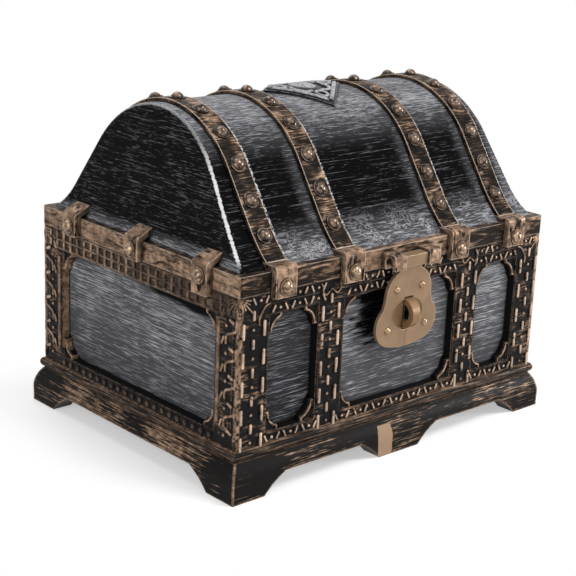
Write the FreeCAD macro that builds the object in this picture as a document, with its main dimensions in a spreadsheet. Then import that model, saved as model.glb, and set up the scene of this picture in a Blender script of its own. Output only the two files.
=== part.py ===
import FreeCAD, Part
import math
import os

import Sketcher

# A barrel-lidded treasure chest. +X runs along the front, -Y is the front, +Z is up,
# and the origin is on the floor under the middle of the chest. Millimetres and degrees.

SIZES = (
    # rim and body
    ("rim_length", 200.0, "length of the rim, over its faces"),
    ("rim_depth", 152.0, "depth of the rim, over its faces"),
    ("rim_height", 9.3, "height of the rim band"),
    ("rim_width", 8.5, "width of the rim band, seen from below"),
    ("rim_corner", 1.5, "rounding of the rim's upright corners"),
    ("lid_gap", 0.3, "gap between the closed rim and the tub"),
    ("body_height", 69.6, "height of the frames, from the bead to the tub's edge"),
    ("body_inset", 0.5, "how far the frames stay behind the rim's faces"),
    ("frame_thickness", 4.0, "thickness of the relief frames"),
    ("tub_wall", 2.5, "thickness of the tub's walls"),
    ("tub_floor", 2.5, "thickness of the tub's floor"),
    # windows of the frames
    ("window_sill", 4.9, "height of the frames under the windows"),
    ("window_head", 10.0, "height of the frames over the windows"),
    ("bracket_width", 7.6, "width of the brackets in the windows' corners"),
    ("bracket_height", 9.4, "height of those brackets"),
    ("bracket_hollow", 6.4, "radius of their hollow edge"),
    ("bracket_step", 2.2, "straight step at each end of that hollow"),
    ("bracket_setback", 1.1, "how far the brackets lie behind the frames' faces"),
    ("inner_post", 16.0, "width of the posts beside the middle window"),
    ("corner_post", 17.0, "width of the posts at the corners of the front"),
    ("end_post", 15.8, "width of the posts at the corners of the ends"),
    # plinth and bead
    ("plinth_height", 18.0, "height of the plinth"),
    ("plinth_overhang", 4.0, "how far the plinth stands out beyond the rim"),
    ("plinth_face", 5.4, "height of the plinth's upright face"),
    ("plinth_swell", 17.0, "radius of the plinth's rounded slope"),
    ("plinth_board", 10.5, "thickness of the plinth's boards at the floor"),
    ("arch_height", 9.4, "height of the arches between the feet"),
    ("arch_run", 12.5, "length of an arch's sloping end"),
    ("arch_curve", 38.0, "radius of an arch's sloping end"),
    ("corner_foot", 18.5, "width of the corner feet at the floor"),
    ("centre_foot", 26.4, "width of the middle feet at the floor"),
    ("bead_height", 5.4, "height of the bead round the tub's foot"),
    ("bead_reach", 1.5, "how far the bead stands out beyond the rim"),
    # lid
    ("lid_height", 61.0, "height of the lid above the rim"),
    ("lid_slope", 56.0, "slope of the lid's straight sides"),
    ("flare_radius", 70.0, "radius of the flare at the foot of the sides"),
    ("flare_height", 15.0, "height of the flare at the foot of the sides"),
    ("side_ledge", 3.9, "width of the rim's ledge at the lid's long sides"),
    ("end_ledge", 3.8, "width of the rim's ledge at the lid's ends"),
    ("end_slope", 6.0, "how far the lid's ends lean inwards"),
    ("end_flare_radius", 30.0, "radius of the flare at the foot of the ends"),
    ("end_flare_height", 9.0, "height of the flare at the foot of the ends"),
    ("lid_edge", 3.0, "rounding of the edges between the barrel and its ends"),
    ("lid_wall", 2.5, "thickness of the lid's shell"),
    # straps, studs, clamps and crest
    ("glue_gap", 0.05, "glue line between the lid and what lies on it"),
    ("strap_width", 11.4, "width of the straps"),
    ("strap_thickness", 1.8, "thickness of the straps"),
    ("strap_inset", 23.5, "outer straps, from the rim's ends"),
    ("strap_shift", 2.2, "inner straps, inwards of the middle window's edges"),
    ("stud_pitch", 17.1, "spacing of the studs along a strap"),
    ("stud_radius", 3.9, "radius of the studs' round flanges"),
    ("stud_flange", 0.5, "thickness of the studs' flanges"),
    ("stud_head", 3.0, "radius of the studs' domes"),
    ("stud_height", 2.2, "height of the studs' domes above their flanges"),
    ("clamp_width", 12.0, "width of the front and back clamps on the rim"),
    ("end_clamp_width", 10.4, "width of the end clamps on the rim"),
    ("clamp_reach", 3.0, "how far the clamps stand out from the rim"),
    ("clamp_cap", 2.5, "thickness of the clamps on top of the rim"),
    ("clamp_bend", 2.2, "rounding of the clamps' outer top edges"),
    ("clamp_grip", 9.0, "how far the clamps reach in over the rim"),
    ("tongue_rise", 5.0, "how far the end clamps' tongues rise over that reach"),
    ("front_clamp_drop", 2.7, "how far the front clamps hang below the rim"),
    ("end_clamp_drop", 3.6, "how far the foremost end clamps hang below the rim"),
    ("front_stud_drop", 7.0, "front clamp studs, below the rim's top"),
    ("end_stud_drop", 4.2, "end and back clamp studs, below the rim's top"),
    ("end_clamp_inset", 25.8, "outer end clamps, from the rim's corners"),
    ("end_clamp_shift", 1.3, "how far the end clamps' row sits towards the front"),
    ("crest_length", 50.0, "length of the lozenge-shaped crest"),
    ("crest_depth", 47.8, "depth of the crest, seen from above"),
    ("crest_thickness", 1.3, "thickness of the crest"),
    ("boss_radius", 9.0, "radius of the boss in the middle of the crest"),
    ("boss_height", 1.9, "height of the boss above the crest"),
    ("boss_sink", 0.9, "how deep the boss's foot lies in the bent crest"),
    # hasp, its lugs and the staple
    ("hasp_standoff", 4.7, "the hasp's axis, in front of the rim's face"),
    ("hasp_axis_drop", 6.1, "the hasp's axis, below the rim's top"),
    ("pivot_radius", 2.5, "radius of the hasp's two pivots"),
    ("pivot_length", 3.6, "length of the hasp's pivots inside the lugs"),
    ("running_fit", 0.06, "radial clearance of pivots and pins in their holes"),
    ("bar_length", 15.0, "length of the square bar at the hasp's head"),
    ("bar_depth", 5.2, "depth of the hasp's bar"),
    ("bar_height", 5.6, "height of the hasp's bar"),
    ("side_play", 0.3, "side clearance between knuckles that turn"),
    ("hasp_thickness", 1.8, "thickness of the hasp plate"),
    ("hasp_setback", 0.8, "middle of the hasp plate, behind its axis"),
    ("hasp_tilt", 2.5, "how far the hanging hasp leans in towards the chest"),
    ("hasp_neck", 13.8, "width of the hasp's neck"),
    ("hasp_shoulder", 29.6, "width of the hasp across its shoulders"),
    ("hasp_waist", 32.6, "width of the hasp where its belly begins"),
    ("hasp_foot", 25.2, "width of the hasp's rounded bottom edge"),
    ("neck_drop", 4.9, "end of the neck, below the axis"),
    ("shoulder_drop", 14.9, "shoulders, below the axis"),
    ("waist_drop", 23.4, "beginning of the belly, below the axis"),
    ("foot_drop", 41.5, "corners of the bottom edge, below the axis"),
    ("shoulder_curve", 14.0, "radius of the shoulders"),
    ("waist_curve", 28.0, "radius of the hollow over the belly"),
    ("belly_curve", 10.6, "radius of the belly"),
    ("foot_curve", 48.0, "radius of the bottom edge"),
    ("slot_width", 6.2, "width of the hasp's slot"),
    ("slot_height", 16.2, "height of the hasp's slot"),
    ("slot_drop", 26.5, "middle of the slot, below the axis"),
    ("dish_width", 20.0, "width of the shallow dish round the slot"),
    ("dish_height", 14.4, "height of the shallow dish round the slot"),
    ("dish_depth", 0.5, "depth of the shallow dish"),
    ("rivet_radius", 1.9, "radius of the hasp's rivets"),
    ("rivet_height", 1.4, "height of the hasp's rivets"),
    ("upper_rivet", 8.4, "upper rivets, from the hasp's middle"),
    ("upper_rivet_drop", 14.0, "upper rivets, below the axis"),
    ("lower_rivet", 12.4, "lower rivets, from the hasp's middle"),
    ("lower_rivet_drop", 33.4, "lower rivets, below the axis"),
    ("lug_width", 7.4, "width of the hooked lugs"),
    ("lug_reach", 8.5, "how far the lugs stand out from the rim"),
    ("lug_rise", 1.9, "top of the lugs, below the rim's top"),
    ("lug_corner", 2.0, "rounding of the lugs' outer top edges"),
    ("lug_mouth", 4.2, "width of the snap-in mouth under the lugs"),
    ("staple_play", 0.7, "clearance between the staple and the slot"),
    ("staple_bar", 2.8, "thickness of the staple's bar"),
    ("staple_reach", 14.3, "how far the staple stands out from the panel"),
    ("staple_plate", 1.2, "thickness of the staple's plate"),
    ("staple_plate_margin", 3.0, "staple's plate, beyond the bar on each side"),
    # hinges
    ("hinge_gap", 1.7, "gap between the hinges and the clamps beside them"),
    ("hinge_width", 11.0, "width of the hinges"),
    ("hinge_standoff", 5.7, "hinge pin, behind the rim's back face"),
    ("knuckle_radius", 2.8, "radius of the hinge knuckles"),
    ("knuckle_share", 3.4, "length of each outer knuckle"),
    ("hinge_pin_radius", 1.1, "radius of the hinge pins"),
    ("leaf_thickness", 1.5, "thickness of the hinge leaves"),
    ("base_leaf", 12.0, "height of the hinge leaves on the body"),
    ("lid_leaf", 6.9, "height of the hinge leaves on the rim"),
    ("leaf_gap", 1.15, "hinge leaves, from the height of the pin"),
    ("web_thickness", 1.6, "thickness of the webs between leaf and knuckle"),
    ("screw_radius", 1.3, "radius of the hinge screws' heads"),
    ("screw_height", 0.8, "height of the hinge screws' heads"),
    ("screw_spread", 3.0, "hinge screws, from the leaf's middle"),
)

# Levels and shape values that follow from the sizes.
DERIVED = (
    ("bead_top", "sizes.plinth_height + sizes.bead_height"),
    ("tub_top", "derived.bead_top + sizes.body_height"),
    ("rim_bottom", "derived.tub_top + sizes.lid_gap"),
    ("rim_top", "derived.rim_bottom + sizes.rim_height"),
    ("half_length", "sizes.rim_length / 2"),
    ("half_depth", "sizes.rim_depth / 2"),
    ("frame_x", "derived.half_length - sizes.body_inset"),
    ("frame_y", "derived.half_depth - sizes.body_inset"),
    ("panel_x", "derived.frame_x - sizes.frame_thickness"),
    ("panel_y", "derived.frame_y - sizes.frame_thickness"),
    ("plinth_x", "derived.half_length + sizes.plinth_overhang"),
    ("plinth_y", "derived.half_depth + sizes.plinth_overhang"),
    # what shares out the front's length and the ends' depth
    ("centre_window", "sizes.rim_length * 3 / 8"),
    ("outer_strap", "derived.half_length - sizes.strap_inset"),
    ("inner_strap", "derived.centre_window / 2 - sizes.strap_shift"),
    ("end_clamp_pitch", "derived.half_depth - sizes.end_clamp_inset"),
    ("clamp_side", "derived.inner_strap + sizes.clamp_width / 2"),
    ("hinge_place", "derived.clamp_side + sizes.hinge_gap + sizes.hinge_width / 2"),
    # the lid's cross section, from its foot on the rim: flare, straight side, and the crown
    # whose radius brings the two sides together at the lid's height
    ("slope_cos", "cos(sizes.lid_slope)"),
    ("slope_sin", "sin(sizes.lid_slope)"),
    ("side_foot", "derived.half_depth - sizes.side_ledge"),
    ("flare_top", "derived.rim_top + sizes.flare_height"),
    ("flare_rise", "sizes.flare_height + sizes.flare_radius * derived.slope_cos"),
    ("flare_centre_y", "derived.side_foot + sqrt(sizes.flare_radius ^ 2 - derived.flare_rise ^ 2)"),
    ("flare_centre_z", "derived.rim_top + derived.flare_rise"),
    ("flare_start", "derived.flare_centre_y - sizes.flare_radius * derived.slope_sin"),
    ("full_run", "(sizes.lid_height - sizes.flare_height) * derived.slope_cos / derived.slope_sin"),
    ("crown_radius", "(derived.flare_start - derived.full_run) / tan(sizes.lid_slope / 2)"),
    ("crown_centre", "derived.rim_top + sizes.lid_height - derived.crown_radius"),
    ("crown_drop", "derived.crown_radius * (1 - derived.slope_cos)"),
    ("side_drop", "sizes.lid_height - derived.crown_drop - sizes.flare_height"),
    # the lid's ends: foot, flare, sloping face
    ("end_foot", "derived.half_length - sizes.end_ledge"),
    ("end_flare_top", "derived.rim_top + sizes.end_flare_height"),
    ("end_foot_sin", "sin(sizes.end_slope) + sizes.end_flare_height / sizes.end_flare_radius"),
    ("end_foot_cos", "sqrt(1 - derived.end_foot_sin ^ 2)"),
    ("end_flare_run", "sizes.end_flare_radius * (cos(sizes.end_slope) - derived.end_foot_cos)"),
    ("end_start", "derived.end_foot - derived.end_flare_run"),
    ("lid_top", "derived.rim_top + sizes.lid_height"),
    ("strap_foot", "derived.rim_top + sizes.clamp_cap + sizes.glue_gap"),
    # hasp, staple and hinges
    ("hasp_y", "-derived.half_depth - sizes.hasp_standoff"),
    ("hasp_z", "derived.rim_top - sizes.hasp_axis_drop"),
    ("hasp_plate_y", "derived.hasp_y + sizes.hasp_setback"),
    ("lug_inner", "sizes.bar_length / 2 + sizes.side_play"),
    ("staple_half_width", "sizes.slot_width / 2 - sizes.staple_play"),
    ("staple_half_height", "sizes.slot_height / 2 - sizes.staple_play"),
    ("staple_z", "derived.hasp_z - sizes.slot_drop"),
    ("hinge_y", "derived.half_depth + sizes.hinge_standoff"),
    ("hinge_z", "derived.tub_top + sizes.lid_gap / 2"),
)

SIDES = {"left": -1, "right": 1}

doc = FreeCAD.newDocument("treasure_chest")
pieces = []


def fill_sheet():
    """Puts the driving sizes into a sheet, and what follows from them into a set of values."""
    sheet = doc.addObject("Spreadsheet::Sheet", "sizes")
    for row, (alias, value, meaning) in enumerate(SIZES, 1):
        sheet.set(f"A{row}", str(value))
        sheet.setAlias(f"A{row}", alias)
        sheet.set(f"B{row}", meaning)
    doc.recompute()
    derived = doc.addObject("App::VarSet", "derived")
    for name, expression in DERIVED:
        derived.addProperty("App::PropertyFloat", name)
        derived.setExpression(name, expression)
        doc.recompute()
    return sheet


sheet = fill_sheet()


def number(expression):
    """The value of an expression over the sheet."""
    return float(sheet.evalExpression(expression))


def keep(label, thing):
    """Names a finished piece, so that it gets a file of its own."""
    thing.Label = label
    pieces.append(thing)
    return thing


# Building blocks


def box(name, x_span, y_span, z_span):
    """A block between pairs of expressions."""
    block = doc.addObject("Part::Box", name)
    for size, axis, (low, high) in zip(("Length", "Width", "Height"), "xyz", (x_span, y_span, z_span)):
        block.setExpression(size, f"({high}) - ({low})")
        block.setExpression(f"Placement.Base.{axis}", low)
    return block


def rod(name, radius, length, x_start, y, z):
    """A cylinder along X."""
    cylinder = doc.addObject("Part::Cylinder", name)
    cylinder.setExpression("Radius", radius)
    cylinder.setExpression("Height", length)
    along_x = FreeCAD.Rotation(FreeCAD.Vector(0, 1, 0), 90)
    cylinder.Placement = FreeCAD.Placement(FreeCAD.Vector(), along_x)
    for axis, expression in zip("xyz", (x_start, y, z)):
        cylinder.setExpression(f"Placement.Base.{axis}", expression)
    return cylinder


def cut(name, base, tool):
    result = doc.addObject("Part::Cut", name)
    result.Base = base
    result.Tool = tool
    return result


def fuse(name, shapes):
    result = doc.addObject("Part::MultiFuse", name)
    result.Shapes = shapes
    result.Refine = True
    return result


def common(name, base, tool):
    result = doc.addObject("Part::Common", name)
    result.Base = base
    result.Tool = tool
    return result


def group(name, members):
    result = doc.addObject("Part::Compound", name)
    result.Links = members
    return result


def oval_column(name, length, depth, height):
    """An upright column with an oval section."""
    oval = doc.addObject("Part::Ellipse", f"{name}_oval")
    oval.setExpression("MajorRadius", f"({length}) / 2")
    oval.setExpression("MinorRadius", f"({depth}) / 2")
    column = doc.addObject("Part::Extrusion", name)
    column.Base = oval
    column.DirMode = "Custom"
    column.Dir = FreeCAD.Vector(0, 0, 1)
    column.setExpression("LengthFwd", height)
    column.Solid = True
    return column


def dome(name, radius, height, seat, normal):
    """A dome with a flat foot at the point seat, standing along the direction normal."""
    sphere = f"(({radius}) ^ 2 + ({height}) ^ 2) / (2 * ({height}))"
    cap = doc.addObject("Part::Sphere", name)
    cap.setExpression("Radius", sphere)
    cap.setExpression("Angle1", f"acos(({radius}) / ({sphere}))")
    turn = FreeCAD.Rotation(FreeCAD.Vector(0, 0, 1), normal)
    sunk = number(sphere) - number(height)
    cap.Placement = FreeCAD.Placement(seat - normal * sunk, turn)
    return cap


def arc_between(start, end, radius, turn):
    """The short arc from start to end; turn is 1 for a left-hand bend, -1 for a right-hand one."""
    chord = end - start
    across = FreeCAD.Vector(-chord.y, chord.x, 0) / chord.Length
    rise = math.sqrt(radius**2 - (chord.Length / 2) ** 2)
    centre = (start + end) / 2 + across * (rise * turn)
    first, last = (start, end) if turn > 0 else (end, start)
    angles = [math.atan2(p.y - centre.y, p.x - centre.x) for p in (first, last)]
    return Part.ArcOfCircle(Part.Circle(centre, FreeCAD.Vector(0, 0, 1), radius), *angles)


def add_loop(sketch, corners):
    """Draws a closed outline. A corner is (across, up) or, where an arc leads on from it,
    (across, up, radius, turn); each entry but turn is an expression."""
    points = [FreeCAD.Vector(number(c[0]), number(c[1]), 0) for c in corners]
    edges = []
    for index, corner in enumerate(corners):
        start, end = points[index], points[(index + 1) % len(points)]
        if len(corner) == 2:
            curve = Part.LineSegment(start, end)
            heads = (1, 2)
        else:
            curve = arc_between(start, end, number(corner[2]), corner[3])
            heads = (1, 2) if corner[3] > 0 else (2, 1)
        edges.append((sketch.addGeometry(curve, False), heads))
    for index, corner in enumerate(corners):
        edge, (head, tail) = edges[index]
        after, (next_head, _) = edges[(index + 1) % len(edges)]
        sketch.addConstraint(Sketcher.Constraint("Coincident", edge, tail, after, next_head))
        limits = [("DistanceX", corner[0]), ("DistanceY", corner[1])]
        for kind, expression in limits:
            place = Sketcher.Constraint(kind, -1, 1, edge, head, number(expression))
            sketch.setExpression(f"Constraints[{sketch.addConstraint(place)}]", expression)
        if len(corner) > 2:
            bend = Sketcher.Constraint("Radius", edge, number(corner[2]))
            sketch.setExpression(f"Constraints[{sketch.addConstraint(bend)}]", corner[2])


def new_sketch(body, plane, offset="0"):
    """An empty sketch on one of the body's own planes, moved along that plane's normal."""
    sketch = body.newObject("Sketcher::SketchObject", f"{body.Name}_sketch")
    origin_plane = next(f for f in body.Origin.OriginFeatures if f.Role == plane)
    sketch.AttachmentSupport = [(origin_plane, "")]
    sketch.MapMode = "FlatFace"
    sketch.setExpression("AttachmentOffset.Base.z", offset)
    return sketch


def add_pad(body, sketch, length):
    pad = body.newObject("PartDesign::Pad", f"{body.Name}_pad")
    pad.Profile = sketch
    pad.setExpression("Length", length)
    pad.Midplane = True
    return pad


def add_pocket(body, sketch):
    """Cuts a sketch right through, both ways."""
    pocket = body.newObject("PartDesign::Pocket", f"{body.Name}_pocket")
    pocket.Profile = sketch
    pocket.Type = "ThroughAll"
    pocket.Midplane = True
    return pocket


def prism(name, plane, loops, length, offset="0"):
    """A body padded from closed outlines, half its length to each side of the sketch."""
    body = doc.addObject("PartDesign::Body", name)
    sketch = new_sketch(body, plane, offset)
    for loop in loops:
        add_loop(sketch, loop)
    add_pad(body, sketch, length)
    return body


# Base


def make_tub():
    """An open box; its outer faces are the panels behind the frames' windows."""
    outer = box(
        "tub_block",
        ("-derived.panel_x", "derived.panel_x"),
        ("-derived.panel_y", "derived.panel_y"),
        ("sizes.plinth_height", "derived.tub_top"),
    )
    room_x = "(derived.panel_x - sizes.tub_wall)"
    room_y = "(derived.panel_y - sizes.tub_wall)"
    room = box(
        "tub_room",
        (f"-{room_x}", room_x),
        (f"-{room_y}", room_y),
        ("sizes.plinth_height + sizes.tub_floor", "derived.tub_top + sizes.tub_floor"),
    )
    keep("tub", cut("tub_cut", outer, room))


WINDOW_LOW = "(derived.bead_top + sizes.window_sill)"
WINDOW_HIGH = "(derived.tub_top - sizes.window_head)"


def window(left, right):
    return [(left, WINDOW_LOW), (right, WINDOW_LOW), (right, WINDOW_HIGH), (left, WINDOW_HIGH)]


def brackets(left, right):
    """Outlines of the brackets in a window's corners: a step, a hollow quarter round, a step."""
    loops = []
    for edge, inward in ((left, 1), (right, -1)):
        for rail, upward in ((WINDOW_LOW, 1), (WINDOW_HIGH, -1)):
            foot = f"{edge} + {inward} * sizes.bracket_width"
            step_up = f"{rail} + {upward} * sizes.bracket_step"
            head = f"{rail} + {upward} * sizes.bracket_height"
            loops.append([
                (edge, rail),
                (foot, rail),
                (foot, step_up, "sizes.bracket_hollow", -inward * upward),
                (f"{edge} + {inward} * sizes.bracket_step", head),
                (edge, head),
            ])
    return loops


def plate_outline(half_width):
    return [
        (f"-{half_width}", "derived.bead_top"),
        (half_width, "derived.bead_top"),
        (half_width, "derived.tub_top"),
        (f"-{half_width}", "derived.tub_top"),
    ]


def make_frame(label, plane, outline, spans, side, panel):
    """One frame: a plate with windows, and thinner brackets in the windows' corners that lie
    against the tub. Side is 1 where the plane's normal points away from the chest."""
    body = doc.addObject("PartDesign::Body", label)
    middle = f"{side} * ({panel} + sizes.frame_thickness / 2)"
    plate = new_sketch(body, plane, middle)
    add_loop(plate, outline)
    for span in spans:
        add_loop(plate, window(*span))
    add_pad(body, plate, "sizes.frame_thickness")
    thin = "(sizes.frame_thickness - sizes.bracket_setback)"
    corners = new_sketch(body, plane, f"{side} * ({panel} + {thin} / 2)")
    for span in spans:
        for loop in brackets(*span):
            add_loop(corners, loop)
    add_pad(body, corners, thin)
    keep(label, body)


def make_frames():
    """Relief frames laid on the tub: three windows front and back, one at each end."""
    middle = "(derived.centre_window / 2)"
    near = f"({middle} + sizes.inner_post)"
    far = "(derived.frame_x - sizes.corner_post)"
    spans = ((f"-{far}", f"-{near}"), (f"-{middle}", middle), (near, far))
    # the front plane's normal points to -Y, the end plane's normal to +X
    for label, side in (("front_frame", 1), ("back_frame", -1)):
        make_frame(label, "XZ_Plane", plate_outline("derived.frame_x"), spans, side, "derived.panel_y")
    end_edge = "(derived.frame_y - sizes.end_post)"
    for label, side in (("left_frame", -1), ("right_frame", 1)):
        make_frame(label, "YZ_Plane", plate_outline("derived.panel_y"), [(f"-{end_edge}", end_edge)], side,
                   "derived.panel_x")


def make_bead():
    """A half-round moulding round the foot of the tub, between the plinth and the frames."""
    reach_x = "(derived.half_length + sizes.bead_reach)"
    reach_y = "(derived.half_depth + sizes.bead_reach)"
    body = doc.addObject("PartDesign::Body", "waist_bead")
    sketch = new_sketch(body, "XY_Plane", "(sizes.plinth_height + derived.bead_top) / 2")
    for across, deep in ((reach_x, reach_y), ("derived.panel_x", "derived.panel_y")):
        corners = [(f"-{across}", f"-{deep}"), (across, f"-{deep}"), (across, deep), (f"-{across}", deep)]
        add_loop(sketch, corners)
    pad = add_pad(body, sketch, "sizes.bead_height")
    doc.recompute()
    outer = number(reach_x)
    names = [
        f"Edge{index}"
        for index, edge in enumerate(pad.Shape.Edges, 1)
        if abs(edge.CenterOfMass.x) > outer - 0.01 or abs(edge.CenterOfMass.y) > number(reach_y) - 0.01
    ]
    level = [n for n in names if abs(pad.Shape.getElement(n).tangentAt(0).z) < 0.5]
    fillet = body.newObject("PartDesign::Fillet", "waist_bead_round")
    fillet.Base = (pad, level)
    fillet.setExpression("Radius", "sizes.bead_height * 0.48")
    keep("waist_bead", body)


def arch(left, right):
    """An arch between two feet: a flat top with a hollow slope at each end, open below."""
    below = "-sizes.plinth_face"
    run, curve = "sizes.arch_run", "sizes.arch_curve"
    return [
        (left, below),
        (right, below),
        (right, "0", curve, 1),
        (f"{right} - {run}", "sizes.arch_height"),
        (f"{left} + {run}", "sizes.arch_height", curve, 1),
        (left, "0"),
    ]


def plinth_profile(side, outer):
    """A board's section, in the plane across it; side is 1 or -1."""
    flip = "-" if side < 0 else ""
    face = f"{flip}{outer}"
    neck = f"{flip}({outer} - sizes.plinth_overhang)"
    inner = f"{flip}({outer} - sizes.plinth_board)"
    return [
        (face, "0"),
        (face, "sizes.plinth_face", "sizes.plinth_swell", side),
        (neck, "sizes.plinth_height"),
        (inner, "sizes.plinth_height"),
        (inner, "0"),
    ]


def mitre(half_length, outer, side_along, side_across):
    """The corner triangle cut off one end of a board, in the plan; the mitre runs at 45 degrees."""
    board = "sizes.plinth_board"
    flip = "-" if side_along < 0 else ""
    turn = "-" if side_across < 0 else ""
    over = "(sizes.plinth_overhang)"
    return [
        (f"{flip}({half_length} + {over})", f"{turn}({outer} + {over})"),
        (f"{flip}({half_length} + {over})", f"{turn}({outer} - {board} - {over})"),
        (f"{flip}({half_length} - {board} - {over})", f"{turn}({outer} - {board} - {over})"),
    ]


def make_plinth():
    """Four boards with mitred corners, arched between the feet."""
    half_foot = "(sizes.centre_foot / 2)"
    long_end = "(derived.plinth_x - sizes.corner_foot)"
    short_end = "(derived.plinth_y - sizes.corner_foot)"
    long_arches = [arch(f"-{long_end}", f"-{half_foot}"), arch(half_foot, long_end)]
    short_arches = [arch(f"-{short_end}", short_end)]
    boards = (
        ("plinth_front", -1, "YZ_Plane", "XZ_Plane", "derived.plinth_x", "derived.plinth_y", long_arches),
        ("plinth_back", 1, "YZ_Plane", "XZ_Plane", "derived.plinth_x", "derived.plinth_y", long_arches),
        ("plinth_left", -1, "XZ_Plane", "YZ_Plane", "derived.plinth_y", "derived.plinth_x", short_arches),
        ("plinth_right", 1, "XZ_Plane", "YZ_Plane", "derived.plinth_y", "derived.plinth_x", short_arches),
    )
    for label, side, section_plane, face_plane, half, outer, arches in boards:
        body = prism(label, section_plane, [plinth_profile(side, outer)], f"2 * {half}")
        corners = new_sketch(body, "XY_Plane")
        for end in (-1, 1):
            triangle = mitre(half, outer, end, side)
            if section_plane == "XZ_Plane":
                triangle = [(across, along) for along, across in triangle]
            add_loop(corners, triangle)
        add_pocket(body, corners)
        openings = new_sketch(body, face_plane)
        for outline in arches:
            add_loop(openings, outline)
        add_pocket(body, openings)
        keep(label, body)


def make_staple():
    """A D-shaped loop on a small plate, standing out from the front panel through the hasp's slot."""
    panel = "-derived.panel_y"
    outer, bar = "derived.staple_half_height", "sizes.staple_bar"
    bend = f"({panel} - sizes.staple_reach + {outer})"
    low, high = f"derived.staple_z - {outer}", f"derived.staple_z + {outer}"
    middle = "derived.staple_z"
    tip = f"{panel} - sizes.staple_reach"
    loop = [
        (panel, low),
        (panel, high),
        (bend, high, outer, 1),
        (tip, middle, outer, 1),
        (bend, low),
    ]
    inner = f"({outer} - {bar})"
    plate_face = f"({panel} - sizes.staple_plate)"
    hole = [
        (plate_face, f"{middle} - {inner}"),
        (plate_face, f"{middle} + {inner}"),
        (bend, f"{middle} + {inner}", inner, 1),
        (f"{tip} + {bar}", middle, inner, 1),
        (bend, f"{middle} - {inner}"),
    ]
    bar_body = prism("staple_bar_body", "YZ_Plane", [loop, hole], "2 * derived.staple_half_width")
    wide = "(derived.staple_half_width + sizes.staple_plate_margin)"
    tall = f"({outer} + sizes.staple_plate_margin)"
    plate = box(
        "staple_plate_block",
        (f"-{wide}", wide),
        (plate_face, panel),
        (f"{middle} - {tall}", f"{middle} + {tall}"),
    )
    keep("lock_staple", fuse("lock_staple_fuse", [bar_body, plate]))


# Lid


def lid_points(offset, foot):
    """Crown end, flare start and foot of the lid's section, moved outwards by offset and cut
    off at the level foot."""
    reach = f"(derived.crown_radius + {offset})"
    crown_end = (f"({reach} * derived.slope_sin)", f"(derived.crown_centre + {reach} * derived.slope_cos)")
    flare_start = (
        f"(derived.flare_start + {offset} * derived.slope_sin)",
        f"(derived.flare_top + {offset} * derived.slope_cos)",
    )
    bend = f"(sizes.flare_radius - {offset})"
    rise = f"(derived.flare_centre_z - {foot})"
    foot_end = (f"(derived.flare_centre_y - sqrt({bend} ^ 2 - {rise} ^ 2))", foot)
    return crown_end, flare_start, foot_end


def over_the_lid(offset, foot, leftwards):
    """The path over the lid from one foot to the other, as corners for an outline."""
    crown_end, flare_start, foot_end = lid_points(offset, foot)
    crown, bend = f"derived.crown_radius + {offset}", f"sizes.flare_radius - {offset}"
    near, far, turn = ("", "-", 1) if leftwards else ("-", "", -1)
    return [
        (f"{near}{foot_end[0]}", foot_end[1], bend, -turn),
        (f"{near}{flare_start[0]}", flare_start[1]),
        (f"{near}{crown_end[0]}", crown_end[1], crown, turn),
        (f"{far}{crown_end[0]}", crown_end[1]),
        (f"{far}{flare_start[0]}", flare_start[1], bend, -turn),
        (f"{far}{foot_end[0]}", foot_end[1]),
    ]


def end_waste(side, shift, top):
    """What is cut off beyond one of the lid's ends; shift moves the end's face inwards."""
    flip = "" if side > 0 else "-"
    lean = "tan(sizes.end_slope)"
    start = f"(derived.end_start - {shift})"
    beyond = f"{flip}(derived.half_length + sizes.rim_width)"
    head = f"({start} - ({top} - derived.end_flare_top) * {lean})"
    return [
        (f"{flip}(derived.end_foot - {shift})", "derived.rim_top", "sizes.end_flare_radius", -side),
        (f"{flip}{start}", "derived.end_flare_top"),
        (f"{flip}{head}", top),
        (beyond, top),
        (beyond, "derived.rim_top"),
    ]


def barrel(name, offset, shift):
    """The lid's solid form: the section along X, cut off by the two sloping ends."""
    section = over_the_lid(offset, "derived.rim_top", True)
    body = prism(name, "YZ_Plane", [section], "2 * derived.half_length")
    ends = new_sketch(body, "XZ_Plane")
    for side in SIDES.values():
        add_loop(ends, end_waste(side, shift, "(derived.lid_top + sizes.lid_edge)"))
    pocket = add_pocket(body, ends)
    doc.recompute()
    return body, pocket


def round_ends(body, pocket):
    """Rounds the edges where the barrel meets its ends."""
    level = number("derived.rim_top") + 0.01
    near_end = number("derived.end_start - sizes.lid_height * tan(sizes.end_slope)") - 1
    names = []
    for index, edge in enumerate(pocket.Shape.Edges, 1):
        middle = edge.valueAt((edge.FirstParameter + edge.LastParameter) / 2)
        box_of_edge = edge.BoundBox
        flat_across = box_of_edge.YLength > box_of_edge.ZLength * 20 and box_of_edge.XLength < 0.01
        if middle.z > level and abs(middle.x) > near_end and not flat_across:
            names.append(f"Edge{index}")
    fillet = body.newObject("PartDesign::Fillet", f"{body.Name}_round")
    fillet.Base = (pocket, names)
    fillet.setExpression("Radius", "sizes.lid_edge")


def make_lid_shell():
    outer, pocket = barrel("lid_outer", "0", "0")
    round_ends(outer, pocket)
    core, _ = barrel("lid_core", "-sizes.lid_wall", "sizes.lid_wall")
    keep("lid_shell", cut("lid_shell_cut", outer, core))


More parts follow.
